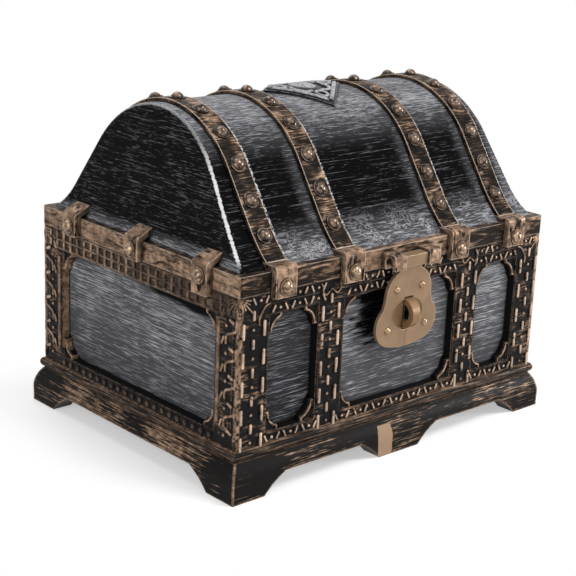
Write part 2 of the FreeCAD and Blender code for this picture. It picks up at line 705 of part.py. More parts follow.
def make_rim():
    """The band round the lid's lower edge."""
    body = doc.addObject("PartDesign::Body", "rim")
    sketch = new_sketch(body, "XY_Plane", "(derived.rim_bottom + derived.rim_top) / 2")
    inner_x, inner_y = "(derived.half_length - sizes.rim_width)", "(derived.half_depth - sizes.rim_width)"
    for across, deep in (("derived.half_length", "derived.half_depth"), (inner_x, inner_y)):
        corners = [(f"-{across}", f"-{deep}"), (across, f"-{deep}"), (across, deep), (f"-{across}", deep)]
        add_loop(sketch, corners)
    pad = add_pad(body, sketch, "sizes.rim_height")
    doc.recompute()
    outer = number("derived.half_length") - 0.01
    upright = [
        f"Edge{index}"
        for index, edge in enumerate(pad.Shape.Edges, 1)
        if edge.BoundBox.ZLength > 1 and abs(edge.CenterOfMass.x) > outer
    ]
    fillet = body.newObject("PartDesign::Fillet", "rim_round")
    fillet.Base = (pad, upright)
    fillet.setExpression("Radius", "sizes.rim_corner")
    keep("rim", body)


def stud(name, seat, normal):
    """A dome on a round flange, standing at the point seat along the direction normal."""
    flange = doc.addObject("Part::Cylinder", f"{name}_flange")
    flange.setExpression("Radius", "sizes.stud_radius")
    flange.setExpression("Height", "sizes.stud_flange")
    flange.Placement = FreeCAD.Placement(seat, FreeCAD.Rotation(FreeCAD.Vector(0, 0, 1), normal))
    top = seat + normal * number("sizes.stud_flange")
    head = dome(f"{name}_head", "sizes.stud_head", "sizes.stud_height", top, normal)
    return fuse(name, [flange, head])


def strap_places():
    """Names of the straps and their distances along X, from left to right."""
    return (
        ("left_outer", "-derived.outer_strap"),
        ("left_inner", "-derived.inner_strap"),
        ("right_inner", "derived.inner_strap"),
        ("right_outer", "derived.outer_strap"),
    )


def strap_seat(distance):
    """Where a stud sits on a strap's outer face, and the normal there, at a distance along
    the strap from the top."""
    reach = number("derived.crown_radius + sizes.glue_gap + sizes.strap_thickness")
    bend = number("sizes.flare_radius - sizes.glue_gap - sizes.strap_thickness")
    slope = math.radians(number("sizes.lid_slope"))
    straight = number("derived.side_drop / derived.slope_sin")
    radius = number("sizes.stud_radius")
    along = abs(distance)
    angle = min(along / reach, slope)
    on_line = min(max(along - reach * slope, 0), straight)
    on_flare = max(along - reach * slope - straight, 0)
    lean = slope - on_flare / bend if on_flare else angle
    y = reach * math.sin(angle) + on_line * math.cos(slope)
    z = number("derived.crown_centre") + reach * math.cos(angle) - on_line * math.sin(slope)
    if on_flare:
        y += bend * (math.sin(slope) - math.sin(lean))
        z -= bend * (math.cos(lean) - math.cos(slope))
    if along + radius > reach * slope + straight:
        # a stud's flat foot spans the hollow of the flare
        lift = bend - math.sqrt(bend ** 2 - radius ** 2) + number("sizes.glue_gap")
        y += lift * math.sin(lean)
        z += lift * math.cos(lean)
    side = 1 if distance >= 0 else -1
    return side * y, z, FreeCAD.Vector(0, side * math.sin(lean), math.cos(lean))


def make_straps():
    """Four bands over the lid, each with a row of dome studs from foot to foot."""
    inner = "sizes.glue_gap"
    outer = "(sizes.glue_gap + sizes.strap_thickness)"
    outline = over_the_lid(outer, "derived.strap_foot", True)
    outline += over_the_lid(inner, "derived.strap_foot", False)
    reach = number("(derived.crown_radius + sizes.strap_thickness) * sizes.lid_slope * pi / 180")
    run = reach + number("(derived.flare_top - derived.strap_foot + derived.side_drop) / derived.slope_sin")
    pitch = number("sizes.stud_pitch")
    count = int((run - number("sizes.stud_radius")) / pitch)
    for name, place in strap_places():
        keep(f"strap_{name}", prism(f"strap_{name}", "YZ_Plane", [outline], "sizes.strap_width", place))
        studs = []
        for step in range(-count, count + 1):
            y, z, normal = strap_seat(step * pitch)
            seat = FreeCAD.Vector(number(place), y, z)
            studs.append(stud(f"stud_{name}_{step}", seat, normal))
        keep(f"strap_studs_{name}", group(f"studs_{name}", studs))


def clamp_outline(side, face, drop, rise):
    """A clamp's section: a leg on the rim's face, a bend, and a tongue over the rim's top."""
    flip = "-" if side < 0 else ""
    front = f"{flip}({face} + sizes.clamp_reach)"
    top = "(derived.rim_top + sizes.clamp_cap)"
    grip = f"{flip}({face} - sizes.clamp_grip)"
    bend = "sizes.clamp_bend"
    return [
        (f"{flip}{face}", f"derived.rim_bottom - {drop}"),
        (front, f"derived.rim_bottom - {drop}"),
        (front, f"{top} - {bend}", bend, side),
        (f"{flip}({face} + sizes.clamp_reach - {bend})", top),
        (grip, f"{top} + {rise}"),
        (grip, f"derived.rim_top + {rise}"),
        (f"{flip}{face}", "derived.rim_top"),
    ]


def clamp_places():
    """For each side of the rim: its direction, and name, place and drop of its clamps."""
    front_drop, end_drop = "sizes.front_clamp_drop", "sizes.end_clamp_drop"
    middle = "-sizes.end_clamp_shift"
    rear, foremost = f"{middle} + derived.end_clamp_pitch", f"{middle} - derived.end_clamp_pitch"
    ends = (("rear", rear, "0"), ("middle", middle, "0"), ("front", foremost, end_drop))
    return {
        "front": (-1, [(name, place, front_drop) for name, place in strap_places()]),
        "back": (1, [(name, place, "0") for name, place in strap_places()]),
        "left": (-1, ends),
        "right": (1, ends),
    }


def make_clamps():
    """Bent clamps that grip the rim, each with a dome stud."""
    lid_space, _ = barrel("lid_space", "sizes.glue_gap", "-sizes.glue_gap")
    for row, (side, clamps) in clamp_places().items():
        along_front = row in ("front", "back")
        face = "derived.half_depth" if along_front else "derived.half_length"
        plane = "YZ_Plane" if along_front else "XZ_Plane"
        width = "sizes.clamp_width" if along_front else "sizes.end_clamp_width"
        rise = "0" if along_front else "sizes.tongue_rise"
        stud_drop = "sizes.front_stud_drop" if row == "front" else "sizes.end_stud_drop"
        level = number(f"derived.rim_top - {stud_drop}")
        out = side * number(f"{face} + sizes.clamp_reach")
        studs = []
        for name, place, drop in clamps:
            label = f"clamp_{row}_{name}"
            # the end clamps' plane has a normal that points to -Y
            offset = place if along_front else f"-({place})"
            bracket = prism(f"{label}_body", plane, [clamp_outline(side, face, drop, rise)], width, offset)
            keep(label, cut(f"{label}_cut", bracket, lid_space))
            if along_front:
                seat, normal = FreeCAD.Vector(number(place), out, level), FreeCAD.Vector(0, side, 0)
            else:
                seat, normal = FreeCAD.Vector(out, number(place), level), FreeCAD.Vector(side, 0, 0)
            studs.append(stud(f"{label}_stud", seat, normal))
        keep(f"clamp_studs_{row}", group(f"studs_{row}", studs))


def make_crest():
    """A lozenge bent over the top of the lid, with a boss in the middle."""
    foot = "derived.flare_top"
    outline = over_the_lid("(sizes.glue_gap + sizes.crest_thickness)", foot, True)
    outline += over_the_lid("sizes.glue_gap", foot, False)
    skin = prism("crest_skin", "YZ_Plane", [outline], "sizes.crest_length + sizes.crest_depth")
    half_length, half_depth = "(sizes.crest_length / 2)", "(sizes.crest_depth / 2)"
    lozenge = [(f"-{half_length}", "0"), ("0", f"-{half_depth}"), (half_length, "0"), ("0", half_depth)]
    column = prism("crest_column", "XY_Plane", [lozenge], "derived.crown_radius", "derived.lid_top")
    plaque = common("crest_plaque", skin, column)
    sole = number("derived.lid_top + sizes.glue_gap + sizes.crest_thickness - sizes.boss_sink")
    upward = FreeCAD.Vector(0, 0, 1)
    seat = FreeCAD.Vector(0, 0, sole)
    boss = dome("crest_boss", "sizes.boss_radius", "(sizes.boss_height + sizes.boss_sink)", seat, upward)
    keep("crest", fuse("crest_joined", [plaque, boss]))


def make_hasp_lugs():
    """Two hooks on the rim's front; the hasp's pivots snap into them from below."""
    face = "-derived.half_depth"
    tip = f"({face} - sizes.lug_reach)"
    top, bottom = "(derived.rim_top - sizes.lug_rise)", "derived.rim_bottom"
    corner = "sizes.lug_corner"
    seat = "(sizes.pivot_radius + sizes.running_fit)"
    half_mouth = "(sizes.lug_mouth / 2)"
    lip = f"(derived.hasp_z - sqrt({seat} ^ 2 - {half_mouth} ^ 2))"
    outline = [
        (face, top),
        (f"{tip} + {corner}", top, corner, 1),
        (tip, f"{top} - {corner}"),
        (tip, bottom),
        (f"derived.hasp_y - {half_mouth}", bottom),
        (f"derived.hasp_y - {half_mouth}", lip, seat, -1),
        ("derived.hasp_y", f"derived.hasp_z + {seat}", seat, -1),
        (f"derived.hasp_y + {half_mouth}", lip),
        (f"derived.hasp_y + {half_mouth}", bottom),
        (face, bottom),
    ]
    for name, side in SIDES.items():
        place = f"{side} * (derived.lug_inner + sizes.lug_width / 2)"
        keep(f"hasp_lug_{name}", prism(f"hasp_lug_{name}", "YZ_Plane", [outline], "sizes.lug_width", place))


# Hasp


def hasp_outline():
    """The pear-shaped plate, from the neck round the belly and back."""
    def at(width, drop, side):
        return (f"{side} * {width} / 2", f"derived.hasp_z - {drop}")

    right = [
        at("sizes.hasp_neck", "0", 1),
        at("sizes.hasp_neck", "sizes.neck_drop", 1) + ("sizes.shoulder_curve", -1),
        at("sizes.hasp_shoulder", "sizes.shoulder_drop", 1) + ("sizes.waist_curve", 1),
        at("sizes.hasp_waist", "sizes.waist_drop", 1) + ("sizes.belly_curve", -1),
        at("sizes.hasp_foot", "sizes.foot_drop", 1) + ("sizes.foot_curve", -1),
    ]
    left = [
        at("sizes.hasp_foot", "sizes.foot_drop", -1) + ("sizes.belly_curve", -1),
        at("sizes.hasp_waist", "sizes.waist_drop", -1) + ("sizes.waist_curve", 1),
        at("sizes.hasp_shoulder", "sizes.shoulder_drop", -1) + ("sizes.shoulder_curve", -1),
        at("sizes.hasp_neck", "sizes.neck_drop", -1),
        at("sizes.hasp_neck", "0", -1),
    ]
    return right + left


def make_hasp():
    """The plate with its slot and shallow dish, its bar and pivots, and four dome rivets."""
    middle = "(derived.hasp_z - sizes.slot_drop)"
    half_width, half_height = "(sizes.slot_width / 2)", "(sizes.slot_height / 2)"
    slot = [
        (f"-{half_width}", f"{middle} - {half_height}"),
        (half_width, f"{middle} - {half_height}"),
        (half_width, f"{middle} + {half_height}"),
        (f"-{half_width}", f"{middle} + {half_height}"),
    ]
    loops = [hasp_outline(), slot]
    plate = prism("hasp_plate_body", "XZ_Plane", loops, "sizes.hasp_thickness", "-derived.hasp_plate_y")
    front = "(derived.hasp_plate_y - sizes.hasp_thickness / 2)"
    dish = oval_column("hasp_dish", "sizes.dish_width", "sizes.dish_height", "2 * sizes.dish_depth")
    dish.Placement = FreeCAD.Placement(FreeCAD.Vector(), FreeCAD.Rotation(FreeCAD.Vector(1, 0, 0), 90))
    dish.setExpression("Placement.Base.y", f"{front} + sizes.dish_depth")
    dish.setExpression("Placement.Base.z", middle)
    solids = [cut("hasp_dished", plate, dish)]
    axis_y, axis_z = "derived.hasp_y", "derived.hasp_z"
    half_length, half_depth = "(sizes.bar_length / 2)", "(sizes.bar_depth / 2)"
    bar = box(
        "hasp_bar",
        (f"-{half_length}", half_length),
        (f"{axis_y} - {half_depth}", f"{axis_y} + {half_depth}"),
        (f"{axis_z} - sizes.bar_height / 2", f"{axis_z} + sizes.bar_height / 2"),
    )
    reach = "(derived.lug_inner + sizes.pivot_length)"
    pivots = rod("hasp_pivots", "sizes.pivot_radius", f"2 * {reach}", f"-{reach}", axis_y, axis_z)
    solids += [bar, pivots]
    joined = fuse("hasp_joined", solids)
    lean = FreeCAD.Rotation(FreeCAD.Vector(1, 0, 0), number("sizes.hasp_tilt"))
    axis_point = FreeCAD.Vector(0, number("derived.hasp_y"), number("derived.hasp_z"))
    hung = FreeCAD.Placement(FreeCAD.Vector(), lean, axis_point)
    joined.Placement = hung
    keep("hasp_plate", joined)
    outward = lean.multVec(FreeCAD.Vector(0, -1, 0))
    rivets = []
    for row in ("upper", "lower"):
        for name, side in SIDES.items():
            across = side * number(f"sizes.{row}_rivet")
            level = number(f"derived.hasp_z - sizes.{row}_rivet_drop")
            seat = hung.multVec(FreeCAD.Vector(across, number(front), level))
            rivet = dome(f"rivet_{row}_{name}", "sizes.rivet_radius", "sizes.rivet_height", seat, outward)
            rivets.append(rivet)
    keep("hasp_rivets", group("hasp_rivet_group", rivets))


# Hinges


def hinge_rod(name, radius, length, start):
    """A rod along X on the hinges' axis."""
    return rod(name, radius, length, start, "derived.hinge_y", "derived.hinge_z")


def hinge_leaf(name, centre, face, z_span, web_span, knuckles):
    """A leaf on the back, its webs and its knuckles, bored for the pin. Each knuckle is a pair
    of expressions, start and length along X."""
    half = "(sizes.hinge_width / 2)"
    x_span = (f"{centre} - {half}", f"{centre} + {half}")
    solids = [box(f"{name}_plate", x_span, (face, f"{face} + sizes.leaf_thickness"), z_span)]
    for index, (start, length) in enumerate(knuckles):
        x_span = (start, f"{start} + {length}")
        solids.append(box(f"{name}_web_{index}", x_span, (face, "derived.hinge_y"), web_span))
        solids.append(hinge_rod(f"{name}_knuckle_{index}", "sizes.knuckle_radius", length, start))
    hole = "sizes.hinge_pin_radius + sizes.running_fit"
    bore = hinge_rod(f"{name}_bore", hole, "2 * sizes.hinge_width", f"{centre} - sizes.hinge_width")
    keep(name, cut(f"{name}_cut", fuse(f"{name}_joined", solids), bore))


def hinge_screws(name, centre, face, level):
    """Two screw heads side by side on a leaf."""
    heads = []
    for side in SIDES.values():
        across = number(f"{centre} + {side} * sizes.screw_spread")
        seat = FreeCAD.Vector(across, number(f"{face} + sizes.leaf_thickness"), number(level))
        backward = FreeCAD.Vector(0, 1, 0)
        heads.append(dome(f"{name}_screw", "sizes.screw_radius", "sizes.screw_height", seat, backward))
    return heads


def make_hinges():
    """Two hinges on the back: a leaf on the body, a leaf on the rim, a pin, and screws."""
    half, share, web = "(sizes.hinge_width / 2)", "sizes.knuckle_share", "sizes.web_thickness"
    body_face, rim_face = "derived.frame_y", "derived.half_depth"
    low, high = "(derived.hinge_z - sizes.leaf_gap)", "(derived.hinge_z + sizes.leaf_gap)"
    base_span, base_web = (f"{low} - sizes.base_leaf", low), (f"{low} - {web}", low)
    lid_span, lid_web = (high, f"{high} + sizes.lid_leaf"), (high, f"{high} + {web}")
    # the screws sit in the middle of what the webs leave free
    base_level = f"{low} - {web} - (sizes.base_leaf - {web}) / 2"
    lid_level = f"{high} + {web} + (sizes.lid_leaf - {web}) / 2"
    middle_length = f"(sizes.hinge_width - 2 * {share} - 2 * sizes.side_play)"
    base_screws, lid_screws = [], []
    for name, side in SIDES.items():
        centre = f"({side} * derived.hinge_place)"
        start = f"{centre} - {half}"
        outer_pair = ((start, share), (f"{centre} + {half} - {share}", share))
        inner_one = ((f"{centre} - {middle_length} / 2", middle_length),)
        hinge_leaf(f"hinge_base_leaf_{name}", centre, body_face, base_span, base_web, outer_pair)
        hinge_leaf(f"hinge_lid_leaf_{name}", centre, rim_face, lid_span, lid_web, inner_one)
        pin = hinge_rod(f"pin_{name}", "sizes.hinge_pin_radius", "sizes.hinge_width", start)
        keep(f"hinge_pin_{name}", pin)
        base_screws += hinge_screws(f"base_{name}", centre, body_face, base_level)
        lid_screws += hinge_screws(f"lid_{name}", centre, rim_face, lid_level)
    keep("hinge_screws_base", group("screws_base", base_screws))
    keep("hinge_screws_lid", group("screws_lid", lid_screws))


# Check and write


def check_and_write():
    """Stops if anything failed to build, then writes one file for each piece."""
    doc.recompute()
    for thing in doc.Objects:
        bad = [word for word in thing.State if word in ("Invalid", "Error")]
        if bad:
            raise RuntimeError(f"{thing.Name} is {bad}")
    for piece in pieces:
        if piece.Shape.isNull() or not piece.Shape.isValid() or not piece.Shape.Solids:
            raise RuntimeError(f"{piece.Label} has no valid solid")
    os.makedirs("parts", exist_ok=True)
    for piece in pieces:
        piece.Shape.exportStep(os.path.join("parts", f"{piece.Label}.step"))
        print(f"{piece.Label}: {len(piece.Shape.Solids)} solids, {piece.Shape.Volume:.1f} cubic mm")


make_tub()
make_frames()
make_bead()
make_plinth()
make_staple()
make_lid_shell()
make_rim()
make_straps()
make_clamps()
make_crest()
make_hasp_lugs()
make_hasp()
make_hinges()
check_and_write()
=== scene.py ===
import math

import bmesh
import bpy
from mathutils import Matrix, Vector


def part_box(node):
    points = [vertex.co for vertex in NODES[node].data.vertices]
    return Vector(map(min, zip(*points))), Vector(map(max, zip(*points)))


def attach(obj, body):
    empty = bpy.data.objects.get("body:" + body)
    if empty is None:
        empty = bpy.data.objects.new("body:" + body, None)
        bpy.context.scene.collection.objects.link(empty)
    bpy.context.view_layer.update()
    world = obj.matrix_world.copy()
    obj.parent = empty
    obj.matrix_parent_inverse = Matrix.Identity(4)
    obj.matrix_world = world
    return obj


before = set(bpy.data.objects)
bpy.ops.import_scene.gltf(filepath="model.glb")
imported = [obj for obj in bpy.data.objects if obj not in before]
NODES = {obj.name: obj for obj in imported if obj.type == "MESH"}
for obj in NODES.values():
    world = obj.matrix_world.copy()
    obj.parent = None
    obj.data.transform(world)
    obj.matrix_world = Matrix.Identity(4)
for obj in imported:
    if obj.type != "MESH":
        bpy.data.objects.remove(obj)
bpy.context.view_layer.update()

# A barrel-lidded treasure chest of black plastic, dry-brushed with silver and bronze.
# Lengths are in millimetres unless a comment says otherwise; +X runs along the front, -Y is the
# front and +Z is up.

MM = 0.001

# places on the chest that the paint and the ornament follow
FRAME_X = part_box("front_frame")[1].x / MM
FRAME_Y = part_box("back_frame")[1].y / MM
PANEL_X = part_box("tub")[1].x / MM
PANEL_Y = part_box("tub")[1].y / MM
STRAPS = [(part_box(f"strap_{name}")[0].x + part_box(f"strap_{name}")[1].x) / 2 / MM
          for name in ("left_outer", "left_inner", "right_inner", "right_outer")]
SLOT_LEVEL = (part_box("lock_staple")[0].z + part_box("lock_staple")[1].z) / 2 / MM
DISH_HALF_WIDTH = 10.0
DISH_HALF_HEIGHT = 7.2

# windows of the frames, and the brackets in their corners
WINDOW_LOW = 28.3
WINDOW_HIGH = 83.0
CENTRE_WINDOW = (-37.5, 37.5)
SIDE_WINDOW = (53.5, 82.5)
END_WINDOW = (-59.7, 59.7)
BRACKET_WIDTH = 7.6
BRACKET_HEIGHT = 9.4
BRACKET_STEP = 2.2
BRACKET_HOLLOW = 6.4
BRACKET_SETBACK = 1.1

# the crest's upper face is bent round a line along X
CREST_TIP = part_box("crest")[1].x / MM
CREST_BEND = 52.9
CREST_CENTRE = 112.05

# colours, linear
BLACK = (0.0032, 0.0032, 0.0036)
SOOT = (0.010, 0.009, 0.0085)
SILVER = (0.46, 0.46, 0.49)
BRIGHT_SILVER = (0.90, 0.90, 0.92)
BRONZE = (0.25, 0.158, 0.100)
COPPER = (0.52, 0.345, 0.235)
# bright bronze of painted highlights, also of bronze worn through at edges
HIGHLIGHT_AND_WORN_BRONZE = (0.82, 0.66, 0.52)
TAN_GOLD = (0.308, 0.196, 0.108)

ROUNDING_SAMPLES = 6
CREVICE_SAMPLES = 8


# node helpers

class Paint:
    """One material, built with short calls; a value may be a number, a colour or a socket."""

    def __init__(self, name):
        self.material = bpy.data.materials.new(name)
        self.material.use_nodes = True
        self.nodes = self.material.node_tree.nodes
        self.links = self.material.node_tree.links
        self.shader = self.nodes["Principled BSDF"]
        source = self.nodes.new("ShaderNodeTexCoord")
        self.place = source.outputs["Object"]
        self.facing = source.outputs["Normal"]

    def put(self, socket, value):
        """Sets a socket to a value, or links it to another socket."""
        if isinstance(value, bpy.types.NodeSocket):
            self.links.new(value, socket)
        elif isinstance(value, tuple) and len(value) == 3 and socket.type == "RGBA":
            socket.default_value = (*value, 1)
        else:
            socket.default_value = value

    def math(self, operation, first, second=0.0, clamp=False):
        node = self.nodes.new("ShaderNodeMath")
        node.operation = operation
        node.use_clamp = clamp
        self.put(node.inputs[0], first)
        self.put(node.inputs[1], second)
        return node.outputs[0]

    def fold(self, operation, values):
        """One operation over all the values, two at a time."""
        result = values[0]
        for value in values[1:]:
            result = self.math(operation, result, value)
        return result

    def plus(self, *values):
        return self.fold("ADD", values)

    def minus(self, first, second):
        return self.math("SUBTRACT", first, second)

    def times(self, *values):
        return self.fold("MULTIPLY", values)

    def over(self, first, second):
        return self.math("DIVIDE", first, second)

    def most(self, *values):
        return self.fold("MAXIMUM", values)

    def size(self, value):
        """A number without its sign."""
        return self.math("ABSOLUTE", value)

    def rest(self, share):
        """1 where share is 0, and 0 where it is 1."""
        return self.minus(1.0, share)

    def reach(self, first, second):
        """How far away a spot is that lies first one way and second across it."""
        return self.math("SQRT", self.plus(self.times(first, first), self.times(second, second)))

    def wander(self, pattern, reach):
        """A pattern as a shift to both sides of 0, with all of it within the reach."""
        return self.times(self.minus(pattern, 0.5), reach)

    def vector(self, operation, first, second=(0, 0, 0)):
        node = self.nodes.new("ShaderNodeVectorMath")
        node.operation = operation
        self.put(node.inputs[0], first)
        self.put(node.inputs[1], second)
        return node.outputs["Value" if operation == "DOT_PRODUCT" else "Vector"]

    def ramp(self, value, low, high):
        """0 at low, 1 at high, smooth between; low may be above high."""
        node = self.nodes.new("ShaderNodeMapRange")
        node.interpolation_type = "SMOOTHSTEP"
        for name, number in (("Value", value), ("From Min", low), ("From Max", high)):
            self.put(node.inputs[name], number)
        return node.outputs["Result"]

    def mix(self, share, first, second):
        """A colour between first, at share 0, and second, at share 1."""
        node = self.nodes.new("ShaderNodeMix")
        node.data_type = "RGBA"
        self.put(node.inputs["Factor"], share)
        # the node's colour sockets come after those for numbers and vectors
        self.put(node.inputs[6], first)
        self.put(node.inputs[7], second)
        return node.outputs[2]

    def blend(self, share, first, second):
        """A number between first, at share 0, and second, at share 1."""
        node = self.nodes.new("ShaderNodeMix")
        self.put(node.inputs["Factor"], share)
        self.put(node.inputs[2], first)
        self.put(node.inputs[3], second)
        return node.outputs[0]

    def parts(self, vector):
        """A vector's x, y and z."""
        node = self.nodes.new("ShaderNodeSeparateXYZ")
        self.put(node.inputs[0], vector)
        return node.outputs

    def spot(self):
        """The place on the chest: x, y and the height above the floor, in millimetres."""
        return self.parts(self.vector("DIVIDE", self.place, (MM, MM, MM)))

    def across(self, axis):
        """How much the surface faces along an axis, either way: 0 for x, 1 for y, 2 for z."""
        return self.size(self.parts(self.facing)[axis])

    def on_ends(self):
        """1 on faces that look along X."""
        return self.ramp(self.across(0), 0.6, 0.8)

    def on_front(self):
        """1 on the tub's and the plinth's front, 0 behind it."""
        return self.ramp(self.spot()[1], -70, -71)

    def noise(self, grain, detail=2.0, seat=0.0, swirl=0.0):
        """Noise whose grains have one width, or three along x, y and z; seat picks another part of
        the pattern and swirl bends its grains."""
        widths = grain if isinstance(grain, tuple) else (grain, grain, grain)
        scale = tuple(1 / (width * MM) for width in widths)
        node = self.nodes.new("ShaderNodeTexNoise")
        spot = self.vector("MULTIPLY", self.place, scale)
        self.put(node.inputs["Vector"], self.vector("ADD", spot, (seat, seat, seat)))
        self.put(node.inputs["Scale"], 1.0)
        self.put(node.inputs["Detail"], detail)
        self.put(node.inputs["Distortion"], swirl)
        return node.outputs["Fac"]

    def strokes(self, length, width, detail=2.0, seat=0.0, swirl=0.0):
        """Brush strokes along X, and along Y on faces that look along X."""
        along_x = self.noise((length, width, width), detail, seat, swirl)
        along_y = self.noise((width, length, width), detail, seat, swirl)
        return self.blend(self.on_ends(), along_x, along_y)

    def rounded(self, radius):
        """The way the surface faces, with sharp edges rounded to a radius."""
        node = self.nodes.new("ShaderNodeBevel")
        node.samples = ROUNDING_SAMPLES
        self.put(node.inputs["Radius"], radius * MM)
        return node.outputs["Normal"]

    def edge(self, radius):
        """1 at sharp edges, falling to 0 within the radius."""
        geometry = self.nodes.new("ShaderNodeNewGeometry")
        agree = self.vector("DOT_PRODUCT", self.rounded(radius), geometry.outputs["Normal"])
        return self.ramp(agree, 0.985, 0.86)

    def open_air(self, reach):
        """1 where the surface lies open, 0 deep in a crevice."""
        node = self.nodes.new("ShaderNodeAmbientOcclusion")
        node.samples = CREVICE_SAMPLES
        self.put(node.inputs["Distance"], reach * MM)
        return node.outputs["AO"]

    def finish(self, colour, roughness, bump, depth, metallic=0.0, gloss=0.5, round_edges=0.0):
        """Sets the shader up: bump is a pattern of heights, depth its scale, and round_edges the
        radius that sharp edges seem to have."""
        inputs = self.shader.inputs
        self.put(inputs["Base Color"], colour)
        self.put(inputs["Roughness"], roughness)
        self.put(inputs["Metallic"], metallic)
        inputs["Specular IOR Level"].default_value = gloss
        grain = self.nodes.new("ShaderNodeBump")
        self.put(grain.inputs["Height"], bump)
        self.put(grain.inputs["Distance"], depth * MM)
        if round_edges:
            self.put(grain.inputs["Normal"], self.rounded(round_edges))
        self.put(inputs["Normal"], grain.outputs["Normal"])
        return self.material


# silver materials

def silver_strokes(paint, dense, least, veil, length, contrast):
    """How much silver the brush left on the black, and the pattern of its strokes of some length.
    Dense, from 0 to 1, says where it went over most often, least how much it left everywhere, veil
    how much of a film lies on the dense places and contrast how far strokes stand out there."""
    fine = paint.strokes(length, 0.36)
    finest = paint.strokes(length * 0.4, 0.24, seat=7)
    long = paint.strokes(length * 3, 0.5, seat=3)
    strokes = paint.blend(0.5, fine, finest)
    patch = paint.blend(paint.noise(20), 0.4, 1.6)
    amount = paint.times(paint.plus(paint.times(dense, 0.7), least), patch)
    start = paint.minus(0.66, paint.times(amount, 0.16))
    brushed = paint.ramp(strokes, start, paint.plus(start, 0.06))
    streak = paint.times(paint.ramp(long, 0.61, 0.68), paint.ramp(finest, 0.38, 0.54), 0.8)
    bright = paint.plus(paint.times(dense, contrast), 0.32)
    share = paint.times(paint.most(brushed, streak), bright)
    film = paint.times(dense, veil, paint.blend(fine, 0.6, 1.4))
    return paint.math("ADD", share, film, clamp=True), strokes


def beside_straps(paint):
    """Two places on the lid, from 0 to 1: a thin line at each strap's right edge, and the stretch
    before the left edge of all but the first, where silver piled up: brushed on, and in part a painted
    highlight."""
    x = paint.spot()[0]
    line_off_middle = 7.5
    line, stretch = 0.0, 0.0
    for strap in STRAPS:
        off_line = paint.size(paint.minus(x, strap + line_off_middle))
        line = paint.most(line, paint.ramp(off_line, 0.9, 0.4))
    for strap in STRAPS[1:]:
        past = paint.minus(x, strap)
        before = paint.times(paint.ramp(past, -15, -7), paint.ramp(past, -4.6, -5.2))
        stretch = paint.most(stretch, before)
    return line, stretch


def wet_smears(paint):
    """Broad smears and thin scribbles, as a wet brush leaves them."""
    smear = paint.ramp(paint.strokes(9, 1.5, 3.0, seat=11, swirl=0.6), 0.54, 0.68)
    scribble = paint.ramp(paint.size(paint.minus(paint.noise(2.2, 3.0), 0.5)), 0.05, 0.01)
    here = paint.ramp(paint.noise(15, 1.0, seat=6), 0.50, 0.60)
    return paint.most(paint.times(scribble, here), smear)


def lid_wear_and_highlight(paint, level):
    """Bright, ragged silver along the lid's rounded end edges, fainter towards the crown: wear, and a painted
    highlight on the rounding.
    """
    turned = paint.across(0)
    rounded = paint.times(paint.ramp(turned, 0.16, 0.60), paint.ramp(turned, 0.97, 0.68))
    margin = paint.times(paint.edge(3.0), 0.55)
    ragged = paint.wander(paint.noise((3.0, 3.0, 0.8), 4.0), 1.7)
    worn = paint.ramp(paint.plus(paint.most(rounded, margin), ragged), 0.40, 0.90)
    fade = paint.blend(paint.ramp(level, 156, 136), 0.2, 1.0)
    return paint.times(worn, fade, paint.ramp(level, 103, 108))


def lid_paint():
    """Black plastic, silver brushed on most at the crown, the foot and the rounded edges, with a
    painted reflection in the crown's grey film, a painted highlight on the rounded edges and
    painted shade in crevices; the inside has thin strokes only."""
    paint = Paint("lid_brushed_black")
    x, _, level = paint.spot()
    # the outside faces away from a point in the middle of the chest
    from_middle = paint.vector("SUBTRACT", paint.place, (0, 0, 90 * MM))
    outside = paint.ramp(paint.vector("DOT_PRODUCT", from_middle, paint.facing), 0.0, 4 * MM)
    barrel = paint.times(paint.rest(paint.on_ends()), outside)
    # the barrel's silver, then that of the ends
    line, stretch = beside_straps(paint)
    past_first = paint.ramp(x, STRAPS[0] - 4, STRAPS[0])
    past_last = paint.ramp(x, STRAPS[-1] + 6, STRAPS[-1] + 12)
    # the crown's grey film is in part a painted reflection, and the stretch beside the straps in part a
    # painted highlight
    crown = paint.ramp(level, 140, 162)
    foot = paint.times(paint.ramp(level, 120, 105), past_first, 0.7)
    on_barrel = paint.most(crown, foot, paint.times(stretch, 0.45), paint.times(past_last, 0.7))
    on_ends = paint.times(paint.blend(paint.ramp(level, 109, 103), 0.05, 1.0), outside)
    dense = paint.blend(barrel, on_ends, on_barrel)
    least = paint.blend(barrel, 0.50, 0.36)
    share, strokes = silver_strokes(paint, dense, least, 0.20, 10, 0.34)
    share = paint.most(share, paint.times(wet_smears(paint), foot, barrel, 1.25))
    # painted shade: silver thins out in crevices, beside the straps and the rim, partly also where the brush
    # could not get in
    share = paint.times(share, paint.ramp(paint.open_air(3.0), 0.45, 0.85))
    dotted = paint.times(line, barrel, paint.ramp(paint.noise(1.1, seat=2), 0.46, 0.58), 0.75)
    # the bright line on the rounded end edges: wear, and a painted highlight
    worn = paint.times(lid_wear_and_highlight(paint, level), outside)
    colour = paint.mix(share, BLACK, SILVER)
    colour = paint.mix(paint.most(worn, dotted), colour, BRIGHT_SILVER)
    return paint.finish(colour, paint.blend(share, 0.42, 0.5), strokes, 0.05, gloss=0.01)


